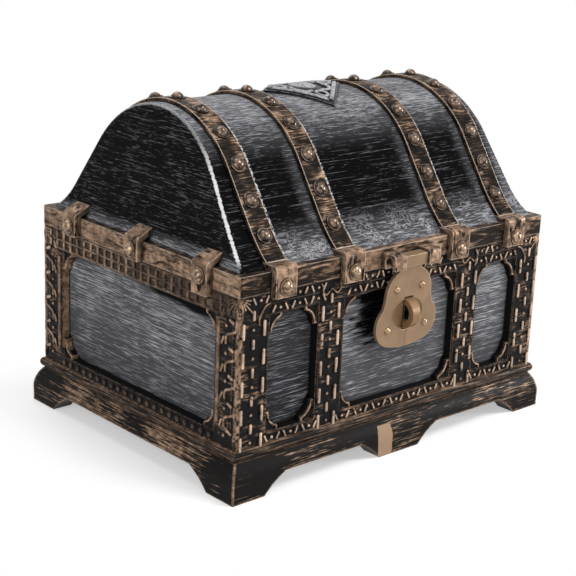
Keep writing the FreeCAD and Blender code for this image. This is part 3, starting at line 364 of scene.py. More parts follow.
def panel_paint():
    """The tub: brushed panels outside, greyer towards the top, with painted shade in the recesses and a
    painted shadow of the hasp; thin strokes inside.
    """
    paint = Paint("panel_brushed_black")
    x, y, level = paint.spot()
    out_x = paint.ramp(paint.size(x), PANEL_X - 0.4, PANEL_X - 0.2)
    out_y = paint.ramp(paint.size(y), PANEL_Y - 0.4, PANEL_Y - 0.2)
    # painted shade: less silver near the frames and in recesses, partly also where the brush could not get in
    reached_unshaded = paint.ramp(paint.open_air(2.5), 0.50, 0.80)
    upper = paint.blend(paint.ramp(level, 30, 66), 0.65, 1.0)
    # on the front, the left window was brushed least, and left of the hasp lies a painted shadow of the hasp,
    # where less silver was brushed on too
    front = paint.on_front()
    left_window = paint.times(front, paint.ramp(x, -45, -58))
    ragged = paint.wander(paint.strokes(12, 2.0, 3.0, seat=6), 30)
    beside = paint.ramp(paint.plus(paint.size(paint.plus(x, 6)), ragged), 22, 15)
    above = paint.ramp(paint.plus(level, ragged), 54, 61)
    hasp_shadow = paint.times(beside, above, front)
    # on the ends a darker strip with less silver lies under the head, broader towards the front
    strip = paint.plus(paint.times(paint.ramp(y, 45, -50), 6.5), paint.times(ragged, 0.12))
    under_head = paint.ramp(paint.plus(level, strip), WINDOW_HIGH - 1, WINDOW_HIGH + 2)
    under_head = paint.times(under_head, out_x)
    thinned = paint.most(paint.times(left_window, 0.7), hasp_shadow, under_head)
    dense = paint.times(paint.most(out_x, out_y), reached_unshaded, upper, paint.rest(thinned), 0.8)
    least = paint.blend(left_window, 0.24, 0.55)
    share, strokes = silver_strokes(paint, dense, least, 0.30, 19, 0.74)
    # the painted shadow of the hasp, and the darker strip under the ends' head, take silver away
    darkened = paint.most(paint.times(hasp_shadow, 0.35), paint.times(under_head, 0.7))
    share = paint.times(share, paint.blend(reached_unshaded, 0.15, 1.0), paint.rest(darkened))
    colour = paint.mix(share, BLACK, SILVER)
    return paint.finish(colour, paint.blend(share, 0.42, 0.5), strokes, 0.05, gloss=0.015)


def crest_paint():
    """Silver on the raised bands, black between them, and bright silver at the edges, partly wear and partly
    a painted highlight.
    """
    paint = Paint("crest_brushed_black")
    _, y, level = paint.spot()
    proud = paint.minus(paint.reach(y, paint.minus(level, CREST_CENTRE)), CREST_BEND)
    smudge = paint.noise(1.4, 3.0)
    patchy = paint.blend(paint.ramp(smudge, 0.34, 0.60), 0.4, 1.0)
    raised = paint.times(paint.ramp(proud, 0.35, 0.95), patchy)
    # bright silver at the edges: wear, and a painted highlight
    worn = paint.times(paint.edge(0.6), paint.ramp(smudge, 0.36, 0.50), 0.9)
    share = paint.most(raised, worn)
    colour = paint.mix(share, BLACK, SILVER)
    return paint.finish(colour, paint.blend(share, 0.34, 0.42), smudge, 0.06, gloss=0.2, round_edges=0.3)


# bronze, gold and steel materials

def bronze_over(paint, share, ground, round_edges, painted_highlight=0.0):
    """Bronze paint where share is 1, the ground where it is 0, and bright bronze by the last share:
    a painted highlight, in part also bronze worn through at edges."""
    tone = paint.noise(3.0, 3.0)
    bronze = paint.mix(paint.ramp(tone, 0.36, 0.64), BRONZE, COPPER)
    colour = paint.mix(share, ground, bronze)
    colour = paint.mix(painted_highlight, colour, HIGHLIGHT_AND_WORN_BRONZE)
    roughness = paint.blend(share, 0.40, 0.42)
    metallic = paint.times(share, 0.35)
    return paint.finish(colour, roughness, tone, 0.12, metallic, 0.05, round_edges)


def rim_paint():
    """The rim: flowing bronze strokes on brown, brighter on the ends, with a painted highlight at its edges
    and painted shade in crevices.
    """
    paint = Paint("rim_bronze")
    smear = paint.strokes(12, 2.2, 3.0, swirl=0.8)
    fine = paint.strokes(5, 0.5, seat=5)
    patch = paint.wander(paint.noise(34, 1.0, seat=4), 0.4)
    near_hasp = paint.ramp(paint.size(paint.spot()[0]), 42, 20)
    along_front = paint.minus(paint.plus(patch, 0.46), paint.times(near_hasp, 0.13))
    start = paint.blend(paint.on_ends(), along_front, 0.335)
    brushed = paint.ramp(paint.blend(0.2, smear, fine), start, paint.plus(start, 0.22))
    # painted shade: less bronze in crevices and beside the clamps
    clear = paint.ramp(paint.open_air(3.0), 0.50, 0.90)
    scratch = paint.ramp(paint.strokes(7, 0.4, seat=9), 0.56, 0.64)
    share = paint.times(brushed, 0.9, clear, paint.rest(paint.times(scratch, 0.7)))
    # a painted highlight of bright bronze along the edges
    painted_highlight = paint.times(paint.edge(0.9), paint.ramp(fine, 0.32, 0.52), 0.65, clear)
    return bronze_over(paint, share, (0.018, 0.013, 0.010), 0.8, painted_highlight)


def fitting_paint():
    """Clamps, lugs and hinges: bronze, browner in smears and stains, with painted shade in crevices and a
    painted highlight at the edges.
    """
    paint = Paint("fitting_bronze")
    smear = paint.ramp(paint.noise((7, 7, 4)), 0.32, 0.64)
    # painted shade: near black in crevices and where the fittings meet the rim; random stains browner
    clear = paint.ramp(paint.open_air(3.0), 0.50, 0.92)
    unstained = paint.ramp(paint.noise((3, 3, 7), 3.0, seat=8), 0.66, 0.50)
    unstained_unshaded = paint.times(clear, unstained)
    ground = paint.mix(unstained_unshaded, (0.010, 0.007, 0.006), (0.16, 0.103, 0.070))
    rub = paint.ramp(paint.noise(1.6, seat=3), 0.32, 0.52)
    # a painted highlight of bright bronze along the edges
    painted_highlight = paint.times(paint.edge(0.9), rub, 0.8)
    return bronze_over(paint, paint.times(smear, unstained_unshaded), ground, 0.8, painted_highlight)


def strap_paint():
    """Straps: edges bright with a painted highlight, and brown faces with fine bronze strokes across, less
    bronze in crevices as painted shade.
    """
    paint = Paint("strap_bronze")
    fine = paint.noise((7, 0.6, 0.6))
    upper = paint.times(paint.ramp(paint.spot()[2], 140, 164), 0.07)
    strokes = paint.plus(paint.blend(0.45, fine, paint.noise(8)), upper)
    wash = paint.ramp(strokes, 0.44, 0.62)
    bright = paint.times(paint.ramp(strokes, 0.55, 0.66), 0.85)
    flank = paint.ramp(paint.across(0), 0.5, 0.8)
    brink = paint.edge(0.9)
    # painted shade: less bronze in crevices, at the straps' feet and round the studs
    clear = paint.ramp(paint.open_air(2.2), 0.62, 0.90)
    share = paint.times(paint.most(bright, paint.times(flank, brink)), clear)
    ground = paint.mix(wash, (0.005, 0.004, 0.0035), (0.065, 0.042, 0.029))
    rub = paint.blend(paint.ramp(fine, 0.36, 0.54), 0.6, 1.0)
    # the last share is a painted highlight along the edges
    return bronze_over(paint, share, ground, 0.35, paint.times(brink, clear, rub))


def stud_paint(name, dull, lit):
    """Glossy domes: brighter bronze on the dome and a dark ring at its foot, painted shade; dull is the
    shaded colour and lit the lit one.
    """
    paint = Paint(name)
    tone = paint.noise(2.2, 3.0)
    # painted shade: the dull colour in the ring at the dome's foot, the lit one where it lies open
    clear = paint.ramp(paint.open_air(2.2), 0.78, 0.97)
    colour = paint.mix(paint.times(clear, paint.ramp(tone, 0.34, 0.62)), dull, lit)
    return paint.finish(colour, paint.blend(tone, 0.18, 0.28), tone, 0.03, metallic=0.6)


def plinth_paint():
    """Black boards with bronze strokes, most along the middles of the ends, and worn corners."""
    paint = Paint("plinth_bronze_black")
    x, y, level = paint.spot()
    ends = paint.ramp(paint.across(0), 0.5, 0.7)
    along = paint.size(paint.blend(ends, paint.over(x, FRAME_X), paint.over(y, FRAME_Y)))
    strokes = paint.strokes(26, 0.6, 3.0)
    fine = paint.strokes(9, 0.35, seat=4)
    patch = paint.times(paint.ramp(paint.noise(24), 0.36, 0.62), 0.6)
    middle = paint.times(paint.ramp(along, 0.92, 0.55), paint.blend(ends, 0.05, 0.70))
    amount = paint.plus(patch, middle, paint.blend(ends, 0.25, 0.10))
    start = paint.minus(0.67, paint.times(amount, 0.16))
    brushed = paint.ramp(paint.blend(0.55, strokes, fine), start, paint.plus(start, 0.09))
    worn = paint.times(paint.edge(1.5), paint.ramp(fine, 0.34, 0.50))
    share = paint.most(paint.times(brushed, 0.8), paint.times(worn, 0.95))
    # a broad tan stripe across the front's middle foot
    off_stripe = paint.size(paint.plus(x, 9.6, paint.wander(paint.noise(6), 2.4)))
    stripe = paint.times(paint.ramp(off_stripe, 4.9, 4.6), paint.on_front())
    stripe = paint.times(stripe, paint.ramp(level, 15.6, 15.1))
    ground = paint.mix(stripe, SOOT, (0.38, 0.255, 0.169))
    return bronze_over(paint, paint.times(share, paint.rest(stripe)), ground, 0.6)


def bead_paint():
    """The waist bead: black with faint brown strokes and a brighter upper edge."""
    paint = Paint("bead_bronze_black")
    strokes = paint.strokes(16, 0.5, 3.0)
    brushed = paint.times(paint.ramp(strokes, 0.44, 0.66), 0.45)
    upward = paint.ramp(paint.parts(paint.facing)[2], 0.55, 0.85)
    worn = paint.times(upward, paint.ramp(strokes, 0.42, 0.54), 0.6)
    return bronze_over(paint, paint.most(brushed, worn), SOOT, 0.3)


def relief_paint():
    """Bronze on the ornament's tops and the frames' edges, black on their ground, and a painted highlight
    along the highest tops.
    """
    paint = Paint("relief_bronze_black")
    x, y, level = paint.spot()
    proud_x = paint.minus(paint.size(x), FRAME_X)
    proud_y = paint.minus(paint.size(y), FRAME_Y)
    proud = paint.most(proud_x, proud_y)
    long_sides = paint.math("GREATER_THAN", proud_y, proud_x)
    ends = paint.rest(long_sides)
    outward = paint.ramp(paint.blend(long_sides, paint.across(0), paint.across(1)), 0.3, 0.6)
    smudge = paint.noise(2.0, 3.0)
    patch = paint.noise(10)
    # the brackets' lines lie behind the frames' faces
    behind = paint.times(paint.ramp(proud, -0.95, -0.65), paint.ramp(proud, -0.05, -0.25))
    raised = paint.most(paint.ramp(proud, 0.25, 0.75), paint.times(behind, outward))
    tint = paint.blend(paint.ramp(patch, 0.36, 0.60), 0.6, 1.0)
    # the ends' ladder is duller, most towards the front
    ladder = paint.times(ends, paint.ramp(level, WINDOW_HIGH, WINDOW_HIGH + 0.8))
    dulled = paint.times(ladder, paint.blend(paint.ramp(y, 45, -35), 0.10, 0.72))
    top = paint.times(raised, paint.ramp(smudge, 0.28, 0.46), tint, paint.rest(dulled))
    # the ground has a few thin smears
    smear = paint.ramp(paint.strokes(6, 0.8, seat=2), 0.48, 0.64)
    smear = paint.times(smear, paint.ramp(patch, 0.42, 0.64), 0.6)
    ground = paint.most(smear, paint.times(ladder, 0.14))
    ground = paint.times(ground, outward, paint.ramp(proud, -0.6, -0.2))
    # sharp edges and the chest's corners are worn
    worn = paint.times(paint.edge(0.7), paint.ramp(smudge, 0.36, 0.52))
    worn = paint.times(worn, paint.ramp(proud, -1.9, -1.5), 0.7)
    corner = paint.times(paint.ramp(proud_x, -2.6, -1.0), paint.ramp(proud_y, -2.6, -1.0))
    worn = paint.most(worn, paint.times(corner, paint.ramp(smudge, 0.34, 0.50)))
    # the bead row at the foot of the ends is dark
    beads = paint.times(ends, paint.ramp(level, WINDOW_LOW - 0.1, WINDOW_LOW - 0.7))
    bright = paint.rest(paint.times(beads, 0.85))
    share = paint.times(paint.most(top, ground, paint.times(worn, 0.85)), bright)
    # the upright walls of the ends' windows are bronze too
    wall = paint.times(ends, paint.ramp(paint.across(1), 0.6, 0.9), paint.ramp(proud, -0.05, -0.3))
    share = paint.most(share, paint.times(wall, paint.ramp(smudge, 0.25, 0.5)))
    # a painted highlight of bright bronze along the highest part of each raised mark
    painted_highlight = paint.times(paint.ramp(proud, 0.72, 0.98), top, bright, 0.6)
    return bronze_over(paint, share, (0.009, 0.009, 0.010), 0.25, painted_highlight)


def gold_paint():
    """Satin tan-gold plastic of the hasp and the staple, with painted shade in crevices and in the dish round
    the slot, and a painted highlight on the edges.
    """
    paint = Paint("tan_gold")
    x, _, level = paint.spot()
    tone = paint.noise(9, 3.0)
    grain = paint.noise(0.5, 3.0)
    dark = tuple(0.82 * part for part in TAN_GOLD)
    colour = paint.mix(paint.ramp(tone, 0.3, 0.7), dark, TAN_GOLD)
    # painted shade: dark brown in crevices
    crevice = paint.ramp(paint.open_air(2.5), 0.80, 0.35)
    colour = paint.mix(paint.times(crevice, 0.7), colour, (0.11, 0.058, 0.024))
    # a painted highlight along the edges
    colour = paint.mix(paint.times(paint.edge(0.9), 0.75), colour, (0.55, 0.39, 0.24))
    # the dish round the slot is browner: painted shade of the dish
    aside = paint.over(x, DISH_HALF_WIDTH)
    up = paint.over(paint.minus(level, SLOT_LEVEL), DISH_HALF_HEIGHT)
    dish = paint.ramp(paint.reach(aside, up), 1.03, 0.97)
    colour = paint.mix(paint.times(dish, 0.6), colour, (0.235, 0.130, 0.050))
    # a thin mould line runs down from the hasp's slot
    line = paint.times(paint.ramp(paint.size(x), 0.40, 0.20), paint.ramp(level, 62.0, 61.5))
    colour = paint.mix(paint.times(line, 0.6), colour, (0.13, 0.075, 0.035))
    return paint.finish(colour, paint.blend(tone, 0.34, 0.46), grain, 0.02, 0.30, 0.4, 0.7)


def steel_paint():
    """Drawn steel of the hinge pins."""
    paint = Paint("pin_steel")
    lines = paint.noise((0.2, 3, 3))
    colour = paint.mix(lines, (0.30, 0.30, 0.31), (0.48, 0.48, 0.50))
    return paint.finish(colour, paint.blend(lines, 0.28, 0.4), lines, 0.02, metallic=0.9)


def dress(material, *names):
    """Gives CAD nodes a material and smooth shading on their curved faces."""
    for name in names:
        mesh = NODES[name].data
        mesh.materials.clear()
        mesh.materials.append(material)
        mesh.polygons.foreach_set("use_smooth", [True] * len(mesh.polygons))
        mesh.set_sharp_from_angle(angle=math.radians(28))


def nodes_named(*starts):
    """Names of the CAD nodes that begin with one of the given words."""
    return [name for name in NODES if name.startswith(starts)]


def dress_nodes(relief, crest):
    """Gives every CAD node its paint; a later line overrules an earlier one."""
    # each stud paint gets a shaded colour, then a lit one: painted shade at the domes' feet
    strap_stud = stud_paint("strap_stud", (0.010, 0.008, 0.007), (0.24, 0.16, 0.11))
    clamp_stud = stud_paint("clamp_stud", (0.09, 0.055, 0.035), (0.52, 0.36, 0.23))
    hasp_rivet = stud_paint("hasp_rivet", (0.27, 0.17, 0.09), (0.46, 0.32, 0.195))
    dress(lid_paint(), "lid_shell")
    dress(panel_paint(), "tub")
    dress(crest, "crest")
    dress(rim_paint(), "rim")
    dress(fitting_paint(), *nodes_named("clamp_", "hasp_lug", "hinge_base", "hinge_lid", "hinge_screws"))
    dress(strap_paint(), *nodes_named("strap_"))
    dress(strap_stud, *nodes_named("strap_studs"))
    dress(clamp_stud, *nodes_named("clamp_studs"))
    dress(plinth_paint(), *nodes_named("plinth_"))
    dress(bead_paint(), "waist_bead")
    dress(relief, "front_frame", "back_frame", "left_frame", "right_frame")
    dress(hasp_rivet, "hasp_rivets")
    dress(gold_paint(), "hasp_plate", "lock_staple")
    dress(steel_paint(), "hinge_pin_left", "hinge_pin_right")


# raised ornament

# how deep a mark's foot lies in its ground, as a part of its height
FOOT = -0.2
# a ridge's rounded section from side to side: parts of its half width and of its height
RIDGE = ((-1, FOOT), (-0.85, 0.55), (-0.4, 0.97), (0.4, 0.97), (0.85, 0.55), (1, FOOT))
# a bar's rounded top from its foot inwards: parts of its width and of its height
BAR_TOP = ((1, FOOT), (0.96, 0.45), (0.74, 0.86), (0.38, 1.0))
BAR_END_POINTS = 10
RING_STEPS = 28


class Relief:
    """Raised ornament on one face, in one mesh. A point is (across, up, proud) in millimetres,
    and place turns it into a point of the chest."""

    def __init__(self, place):
        self.mesh = bmesh.new()
        self.place = place

    def row(self, points):
        """Corners of the mesh at the given points."""
        return [self.mesh.verts.new(Vector(self.place(*point)) * MM) for point in points]

    def skin(self, rows, closed):
        """Faces between neighbouring rows of points; closed joins each row's ends."""
        for low, high in zip(rows, rows[1:]):
            count = len(low)
            for index in range(count if closed else count - 1):
                after = (index + 1) % count
                self.mesh.faces.new((low[index], low[after], high[after], high[index]))

    def dash(self, u, v, length, width, proud, turn=0.0):
        """A bar with round ends; turn is its lean from upright, in degrees, to the right."""
        lean = math.radians(turn)
        outline = []
        for end, start in ((1, 0.0), (-1, math.pi)):
            for index in range(BAR_END_POINTS):
                angle = start + math.pi * index / (BAR_END_POINTS - 1)
                outline.append((math.cos(angle), math.sin(angle), end))
        rows = []
        for reach, rise in BAR_TOP:
            ring = []
            for across, along, end in outline:
                a = across * reach * width / 2
                b = along * reach * width / 2 + end * (length - width) / 2
                ring.append((u + a * math.cos(lean) + b * math.sin(lean),
                             v - a * math.sin(lean) + b * math.cos(lean), rise * proud))
            rows.append(self.row(ring))
        self.skin(rows, True)
        self.mesh.faces.new(rows[-1])

    def line(self, points, width, proud, ground=0.0):
        """A rounded ridge along a line of points on the ground; its ends run into the ground."""
        rows = []
        last = len(points) - 1
        run_out = 0.35 * width
        for index, (u, v) in enumerate(points):
            before, after = points[max(index - 1, 0)], points[min(index + 1, last)]
            run = Vector((after[0] - before[0], after[1] - before[1])).normalized()
            side = Vector((run.y, -run.x)) * width / 2
            section = []
            for reach, rise in RIDGE:
                section.append((u + side.x * reach, v + side.y * reach, ground + rise * proud))
            if index in (0, last):
                out = run * (-run_out if index == 0 else run_out)
                sunk = self.row([(a + out.x, b + out.y, ground + FOOT * proud) for a, b, _ in section])
                rows += [sunk, self.row(section)] if index == 0 else [self.row(section), sunk]
            else:
                rows.append(self.row(section))
        self.skin(rows, False)

    def ring(self, u, v, radius, width, proud):
        """A rounded ridge in a circle."""
        rows = []
        for step in range(RING_STEPS):
            angle = 2 * math.pi * step / RING_STEPS
            section = []
            for reach, rise in RIDGE:
                around = radius + reach * width / 2
                section.append((u + around * math.cos(angle), v + around * math.sin(angle), rise * proud))
            rows.append(self.row(section))
        self.skin(rows + rows[:1], False)

    def make(self, name, body, slot, material):
        """Turns the marks into a piece that rides on a body."""
        self.mesh.normal_update()
        data = bpy.data.meshes.new(name)
        self.mesh.to_mesh(data)
        self.mesh.free()
        data.materials.append(material)
        data.polygons.foreach_set("use_smooth", [True] * len(data.polygons))
        piece = bpy.data.objects.new(name, data)
        bpy.context.scene.collection.objects.link(piece)
        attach(piece, body)


def smooth(points, steps=5):
    """Points of a smooth curve through the given ones."""
    curve = []
    for index in range(len(points) - 1):
        corners = [Vector(points[min(max(index + k, 0), len(points) - 1)]) for k in (-1, 0, 1, 2)]
        for step in range(steps):
            t = step / steps
            a, b, c, d = corners
            spot = 0.5 * (2 * b + (c - a) * t + (2 * a - 5 * b + 4 * c - d) * t * t
                          + (3 * b - a - 3 * c + d) * t * t * t)
            curve.append(tuple(spot))
    return curve + [points[-1]]


def bracket_line(beside):
    """A line beside a bracket's stepped and hollow edge, from the window's corner."""
    foot = Vector((BRACKET_WIDTH, BRACKET_STEP))
    head = Vector((BRACKET_STEP, BRACKET_HEIGHT))
    chord = head - foot
    rise = math.sqrt(BRACKET_HOLLOW ** 2 - chord.length_squared / 4)
    centre = (foot + head) / 2 + Vector((chord.y, -chord.x)).normalized() * rise
    first = math.atan2(foot.y - centre.y, foot.x - centre.x)
    last = math.atan2(head.y - centre.y, head.x - centre.x) - 2 * math.pi
    path = [(BRACKET_WIDTH - beside, 0), (BRACKET_WIDTH - beside, BRACKET_STEP - beside)]
    steps = 8
    for step in range(1, steps):
        angle = first + (last - first) * step / steps
        around = BRACKET_HOLLOW + beside
        path.append((centre.x + around * math.cos(angle), centre.y + around * math.sin(angle)))
    return path + [(BRACKET_STEP - beside, BRACKET_HEIGHT - beside), (0, BRACKET_HEIGHT - beside)]


def window_lines(relief, left, right):
    """Raised lines along a window: its four corner brackets, its sides, sill and head."""
    for edge, inward in ((left, 1), (right, -1)):
        for rail, upward in ((WINDOW_LOW, 1), (WINDOW_HIGH, -1)):
            path = [(edge + inward * a, rail + upward * b) for a, b in bracket_line(0.6)]
            relief.line(path, 1.1, 0.75, -BRACKET_SETBACK)
        side = edge - inward * 0.9
        relief.line([(side, WINDOW_LOW + BRACKET_HEIGHT), (side, WINDOW_HIGH - BRACKET_HEIGHT)], 1.5, 0.35)
    relief.line([(left, WINDOW_LOW - 0.7), (right, WINDOW_LOW - 0.7)], 0.8, 0.4)
    relief.line([(left, WINDOW_HIGH + 0.6), (right, WINDOW_HIGH + 0.6)], 0.8, 0.35)


def post(relief, left, middle, right):
    """Columns of bars on a post: long bars outside, dots and short bars in the middle."""
    first, pitch, width = 25.7, 13.05, 1.7
    for step in range(5):
        level = first + pitch * step
        for place in (left, right):
            relief.dash(place, level, 7.6, width, 1.0)
        relief.dash(middle, level, width, width, 0.8)
        relief.dash(middle, level + pitch / 2, 5.0, width, 0.95)


def zigzag(relief, level, dots, opening, covered):
    """Dots with a slanting bar on each side; opening is 1 where the bars open upwards and -1 where
    they open downwards."""
    dot_width, bar_off_dot, bar_length, bar_width, bar_lean = 1.6, 3.6, 3.9, 1.0, 27
    for dot in dots:
        marks = [(dot, dot_width, dot_width, 0)]
        for side in (-1, 1):
            marks.append((dot + side * bar_off_dot, bar_length, bar_width, side * opening * bar_lean))
        for place, length, width, turn in marks:
            if not covered(place, level):
                relief.dash(place, level, length, width, 0.95, turn)


def fan(relief, corner, inward):
    """Five short rays that spread from a frame's top corner."""
    top = 92.4
    for step in range(5):
        angle = math.radians(10 + 18 * step)
        near, far = 2.0, 9.6 if step == 2 else 5.6
        middle = (near + far) / 2
        relief.dash(corner + inward * middle * math.cos(angle), top - middle * math.sin(angle),
                    far - near, 0.9, 0.8, -inward * (90 - math.degrees(angle)))


def long_side(place, covered):
    """Ornament of the front or back: three windows, four posts and three rows of zigzag."""
    foot_row, head_row, upper_row, between_rows = 25.6, 85.7, 90.7, 88.2
    bow = [(82.6, 88.6), (85.2, 87.6), (87.2, 85.2), (88.7, 82.4), (88.6, 79.4)]
    swag = [(6.6, 91.8), (5.3, 90.2), (5.3, 87.8), (3.4, 86.4), (1.6, 87.6), (0, 88.7),
            (-1.6, 87.6), (-3.4, 86.4), (-5.3, 87.8), (-5.3, 90.2), (-6.6, 91.8)]
    relief = Relief(place)
    window_lines(relief, *CENTRE_WINDOW)
    zigzag(relief, foot_row, [12.0 * k for k in range(-3, 4)], 1, covered)
    centre_dots = [10.6 * k for k in range(-3, 4)]
    zigzag(relief, upper_row, centre_dots, 1, covered)
    zigzag(relief, head_row, centre_dots, -1, covered)
    relief.line([(-38, between_rows), (38, between_rows)], 0.7, 0.4)
    for side in (-1, 1):
        window_lines(relief, *sorted(side * edge for edge in SIDE_WINDOW))
        post(relief, *sorted(side * u for u in (41.5, 46.2, 51.2)))
        post(relief, *sorted(side * u for u in (85.7, 91.8, 97.5)))
        zigzag(relief, foot_row, [side * u for u in (56.8, 68.0, 79.2)], 1, covered)
        side_dots = [side * (54.6 + 11.2 * k) for k in range(4)]
        zigzag(relief, upper_row, side_dots, 1, covered)
        zigzag(relief, head_row, side_dots[:3], -1, covered)
        fan(relief, side * 99.0, -side)
        relief.line([(side * 54.0, between_rows), (side * 81.0, between_rows + 0.1)], 0.7, 0.4)
        relief.line(smooth([(side * u, v) for u, v in bow]), 1.1, 0.75)
        relief.line(smooth([(side * 46.2 + u, v) for u, v in swag]), 0.9, 0.75)
    return relief


def end_side(place, covered):
    """Ornament of an end: a bead row below, a ladder above and bands of small bars at the sides."""
    hook = [(67.4, 4.4), (67.4, 7.4), (68.6, 9.0), (71.2, 10.0), (73.8, 11.4)]
    bead_row, ladder_rows = 25.5, (90.4, 86.0)
    pitch, band_pitch, band_steps = 5.75, 12.7, 5
    relief = Relief(place)
    window_lines(relief, *END_WINDOW)
    for step in range(-10, 11):
        relief.dash(step * pitch, bead_row, 3.3, 3.0, 0.9)
    for step in range(-12, 13):
        for level in ladder_rows:
            if not covered(step * pitch, level):
                relief.dash(step * pitch, level, 4.0, 2.0, 0.8)
    for level, stop in ((92.5, 44.0), (88.2, 66.0), (83.9, 66.0)):
        relief.line([(-stop, level), (stop, level)], 1.3, 0.7)
    for side in (-1, 1):
        relief.line([(side * 62.0, 33.5), (side * 62.0, 79.5)], 3.4, 0.6)
        for step in range(band_steps):
            level = 28.6 + band_pitch * step
            relief.dash(side * 67.5, level, 1.9, 1.9, 0.8)
            relief.dash(side * 65.2, level + 5.6, 4.6, 1.4, 0.8, side * 24)
            relief.dash(side * 71.2, level + 2.5, 4.0, 1.8, 0.9, side * 112)
            if step < band_steps - 1:
                relief.line(smooth([(side * u, level + v) for u, v in hook]), 1.6, 0.8)
        for step in range(5):
            relief.dash(side * 74.2, 27.8 + 13.2 * step, 5.6, 1.6, 0.7)
        fan(relief, side * 75.0, -side)
    return relief


def crest_ornament():
    """Traditional knot-like bands on the crest: a border, a ring at each tip and four arcs round
    the boss in the middle."""
    def place(u, v, proud):
        angle = v / CREST_BEND
        around = CREST_BEND + proud
        return u, around * math.sin(angle), CREST_CENTRE + around * math.cos(angle)

    relief = Relief(place)
    border_tip = CREST_TIP - 3.4
    for turn in range(4):
        quarter = math.pi / 2 * turn
        across = Vector((math.cos(quarter), math.sin(quarter)))
        along = Vector((-across.y, across.x))
        border = []
        for t in (0.06, 0.3, 0.5, 0.7, 0.94):
            border.append(tuple(across * (border_tip * (1 - t)) + along * (border_tip * t)))
        relief.line(border, 2.6, 1.2)
        spot = across * (CREST_TIP * 0.58)
        relief.ring(spot.x, spot.y, 2.9, 2.0, 1.1)
        arc = []
        for a, b in ((10.4, 3.0), (11.0, 7.2), (7.2, 11.0), (3.0, 10.4)):
            arc.append(tuple(across * a + along * b))
        relief.line(smooth(arc), 2.3, 1.1)
    return relief


def under_clamps(middles, half_width):
    """A test that is true for spots which clamps over these middles hide."""
    clamp_foot = 89.0

    def covered(u, v):
        return v > clamp_foot and any(abs(u - middle) < half_width for middle in middles)

    return covered


def make_ornament(relief_material, crest_material):
    """Makes the ornament of the four frames and of the crest."""
    end_clamp = 51.5
    sides = (
        ("front_ornament", long_side, lambda u, v, h: (u, -(FRAME_Y + h), v), under_clamps(STRAPS, 7.4)),
        ("back_ornament", long_side, lambda u, v, h: (-u, FRAME_Y + h, v), under_clamps((), 0)),
        ("left_ornament", end_side, lambda u, v, h: (-(FRAME_X + h), -u, v), under_clamps((end_clamp,), 6.6)),
        ("right_ornament", end_side, lambda u, v, h: (FRAME_X + h, u, v), under_clamps((-end_clamp,), 6.6)),
    )
    for name, build, place, covered in sides:
        build(place, covered).make(name, "base", "relief_bronze_black", relief_material)
    crest_ornament().make("crest_ornament", "lid", "brushed_black", crest_material)


# stage, light and camera, in metres

def seen_directly(nodes, links):
    """1 for rays that show the stage itself, in view or mirrored, and 0 for rays that light."""
    path = nodes.new("ShaderNodeLightPath")
    seen = path.outputs["Is Camera Ray"]
    for name in ("Is Glossy Ray", "Is Transmission Ray"):
        node = nodes.new("ShaderNodeMath")
        node.operation = "MAXIMUM"
        links.new(seen, node.inputs[0])
        links.new(path.outputs[name], node.inputs[1])
        seen = node.outputs[0]
    return seen


def make_floor():
    """A pale floor that keeps the shadow and goes over into the white background."""
    half = 4.0
    corners = [(-half, -half, 0), (half, -half, 0), (half, half, 0), (-half, half, 0)]
    mesh = bpy.data.meshes.new("floor")
    mesh.from_pydata(corners, [], [(0, 1, 2, 3)])
    floor = bpy.data.objects.new("floor", mesh)
    bpy.context.scene.collection.objects.link(floor)
    paint = Paint("floor")
    nodes, links = paint.nodes, paint.links
    seen = seen_directly(nodes, links)
    # near the chest a grey floor that glows a little, so its shadow is soft
    diffuse = nodes.new("ShaderNodeBsdfDiffuse")
    diffuse.inputs["Color"].default_value = (0.8, 0.8, 0.8, 1)
    glow = nodes.new("ShaderNodeEmission")
    paint.put(glow.inputs["Strength"], paint.times(seen, 0.45))
    near = nodes.new("ShaderNodeAddShader")
    links.new(diffuse.outputs[0], near.inputs[0])
    links.new(glow.outputs[0], near.inputs[1])
    # white away from the chest's footprint
    white = nodes.new("ShaderNodeEmission")
    footprint = (0.104, 0.080, 0)
    beyond = paint.vector("SUBTRACT", paint.vector("ABSOLUTE", paint.place), footprint)
    beyond = paint.vector("MAXIMUM", beyond)
    away = paint.math("SQRT", paint.vector("DOT_PRODUCT", beyond, beyond))
    both = nodes.new("ShaderNodeMixShader")
    paint.put(both.inputs["Fac"], paint.times(seen, paint.ramp(away, 0.0, 0.055)))
    links.new(near.outputs[0], both.inputs[1])
    links.new(white.outputs[0], both.inputs[2])
    links.new(both.outputs[0], nodes["Material Output"].inputs["Surface"])
    nodes.remove(paint.shader)
    mesh.materials.append(paint.material)


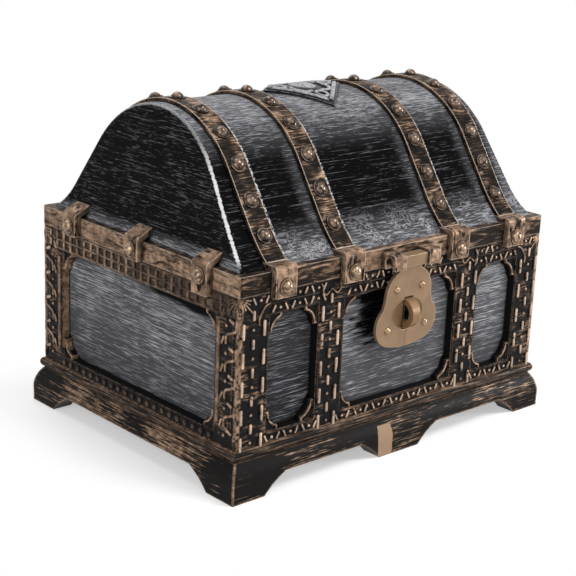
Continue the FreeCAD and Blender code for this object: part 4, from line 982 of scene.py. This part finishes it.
def make_world():
    """White where it is seen, a softer white where it lights."""
    world = bpy.data.worlds.new("studio")
    bpy.context.scene.world = world
    world.use_nodes = True
    nodes, links = world.node_tree.nodes, world.node_tree.links
    strength = nodes.new("ShaderNodeMapRange")
    strength.inputs["To Min"].default_value = 0.30
    strength.inputs["To Max"].default_value = 1.0
    links.new(seen_directly(nodes, links), strength.inputs["Value"])
    background = nodes["Background"]
    background.inputs["Color"].default_value = (1, 1, 1, 1)
    links.new(strength.outputs["Result"], background.inputs["Strength"])


def make_light(name, place, watts, width):
    """A square soft box that looks at the chest."""
    data = bpy.data.lights.new(name, "AREA")
    data.energy = watts
    data.size = width
    light = bpy.data.objects.new(name, data)
    bpy.context.scene.collection.objects.link(light)
    light.location = place
    target = Vector((0, 0, 0.08))
    light.rotation_euler = (target - light.location).to_track_quat("-Z", "Y").to_euler()


def make_camera():
    """The photograph's view: seen from the left of the front and a little from above."""
    azimuth = math.radians(-42.448)
    elevation = math.radians(16.883)
    roll = math.radians(2.432)
    target = Vector((0, 0, 0.07))
    distance, shift_right, shift_up = 0.73499, 0.002925, 0.007855
    back = Vector((math.sin(azimuth) * math.cos(elevation), -math.cos(azimuth) * math.cos(elevation),
                   math.sin(elevation)))
    level = Vector((math.cos(azimuth), math.sin(azimuth), 0))
    upright = back.cross(level)
    right = math.cos(roll) * level + math.sin(roll) * upright
    up = -math.sin(roll) * level + math.cos(roll) * upright
    data = bpy.data.cameras.new("camera")
    data.angle = math.radians(22.48)
    data.clip_start = 0.01
    camera = bpy.data.objects.new("camera", data)
    bpy.context.scene.collection.objects.link(camera)
    eye = target + distance * back - shift_right * right - shift_up * up
    turn = Matrix((right, up, back)).transposed()
    camera.matrix_world = Matrix.Translation(eye) @ turn.to_4x4()
    bpy.context.scene.camera = camera


def make_stage():
    """Floor, background, four soft lights and the camera."""
    bpy.context.scene.view_settings.view_transform = "Standard"
    make_floor()
    make_world()
    make_light("key", (0.45, -0.85, 1.30), 11.0, 0.6)
    make_light("side", (1.15, -0.80, 0.30), 9.0, 0.3)
    make_light("overhead", (0.0, 0.55, 1.10), 4.0, 0.8)
    make_light("fill", (-1.1, -0.5, 0.5), 4.0, 0.8)
    make_camera()


RELIEF = relief_paint()
CREST = crest_paint()
dress_nodes(RELIEF, CREST)
make_ornament(RELIEF, CREST)
make_stage()
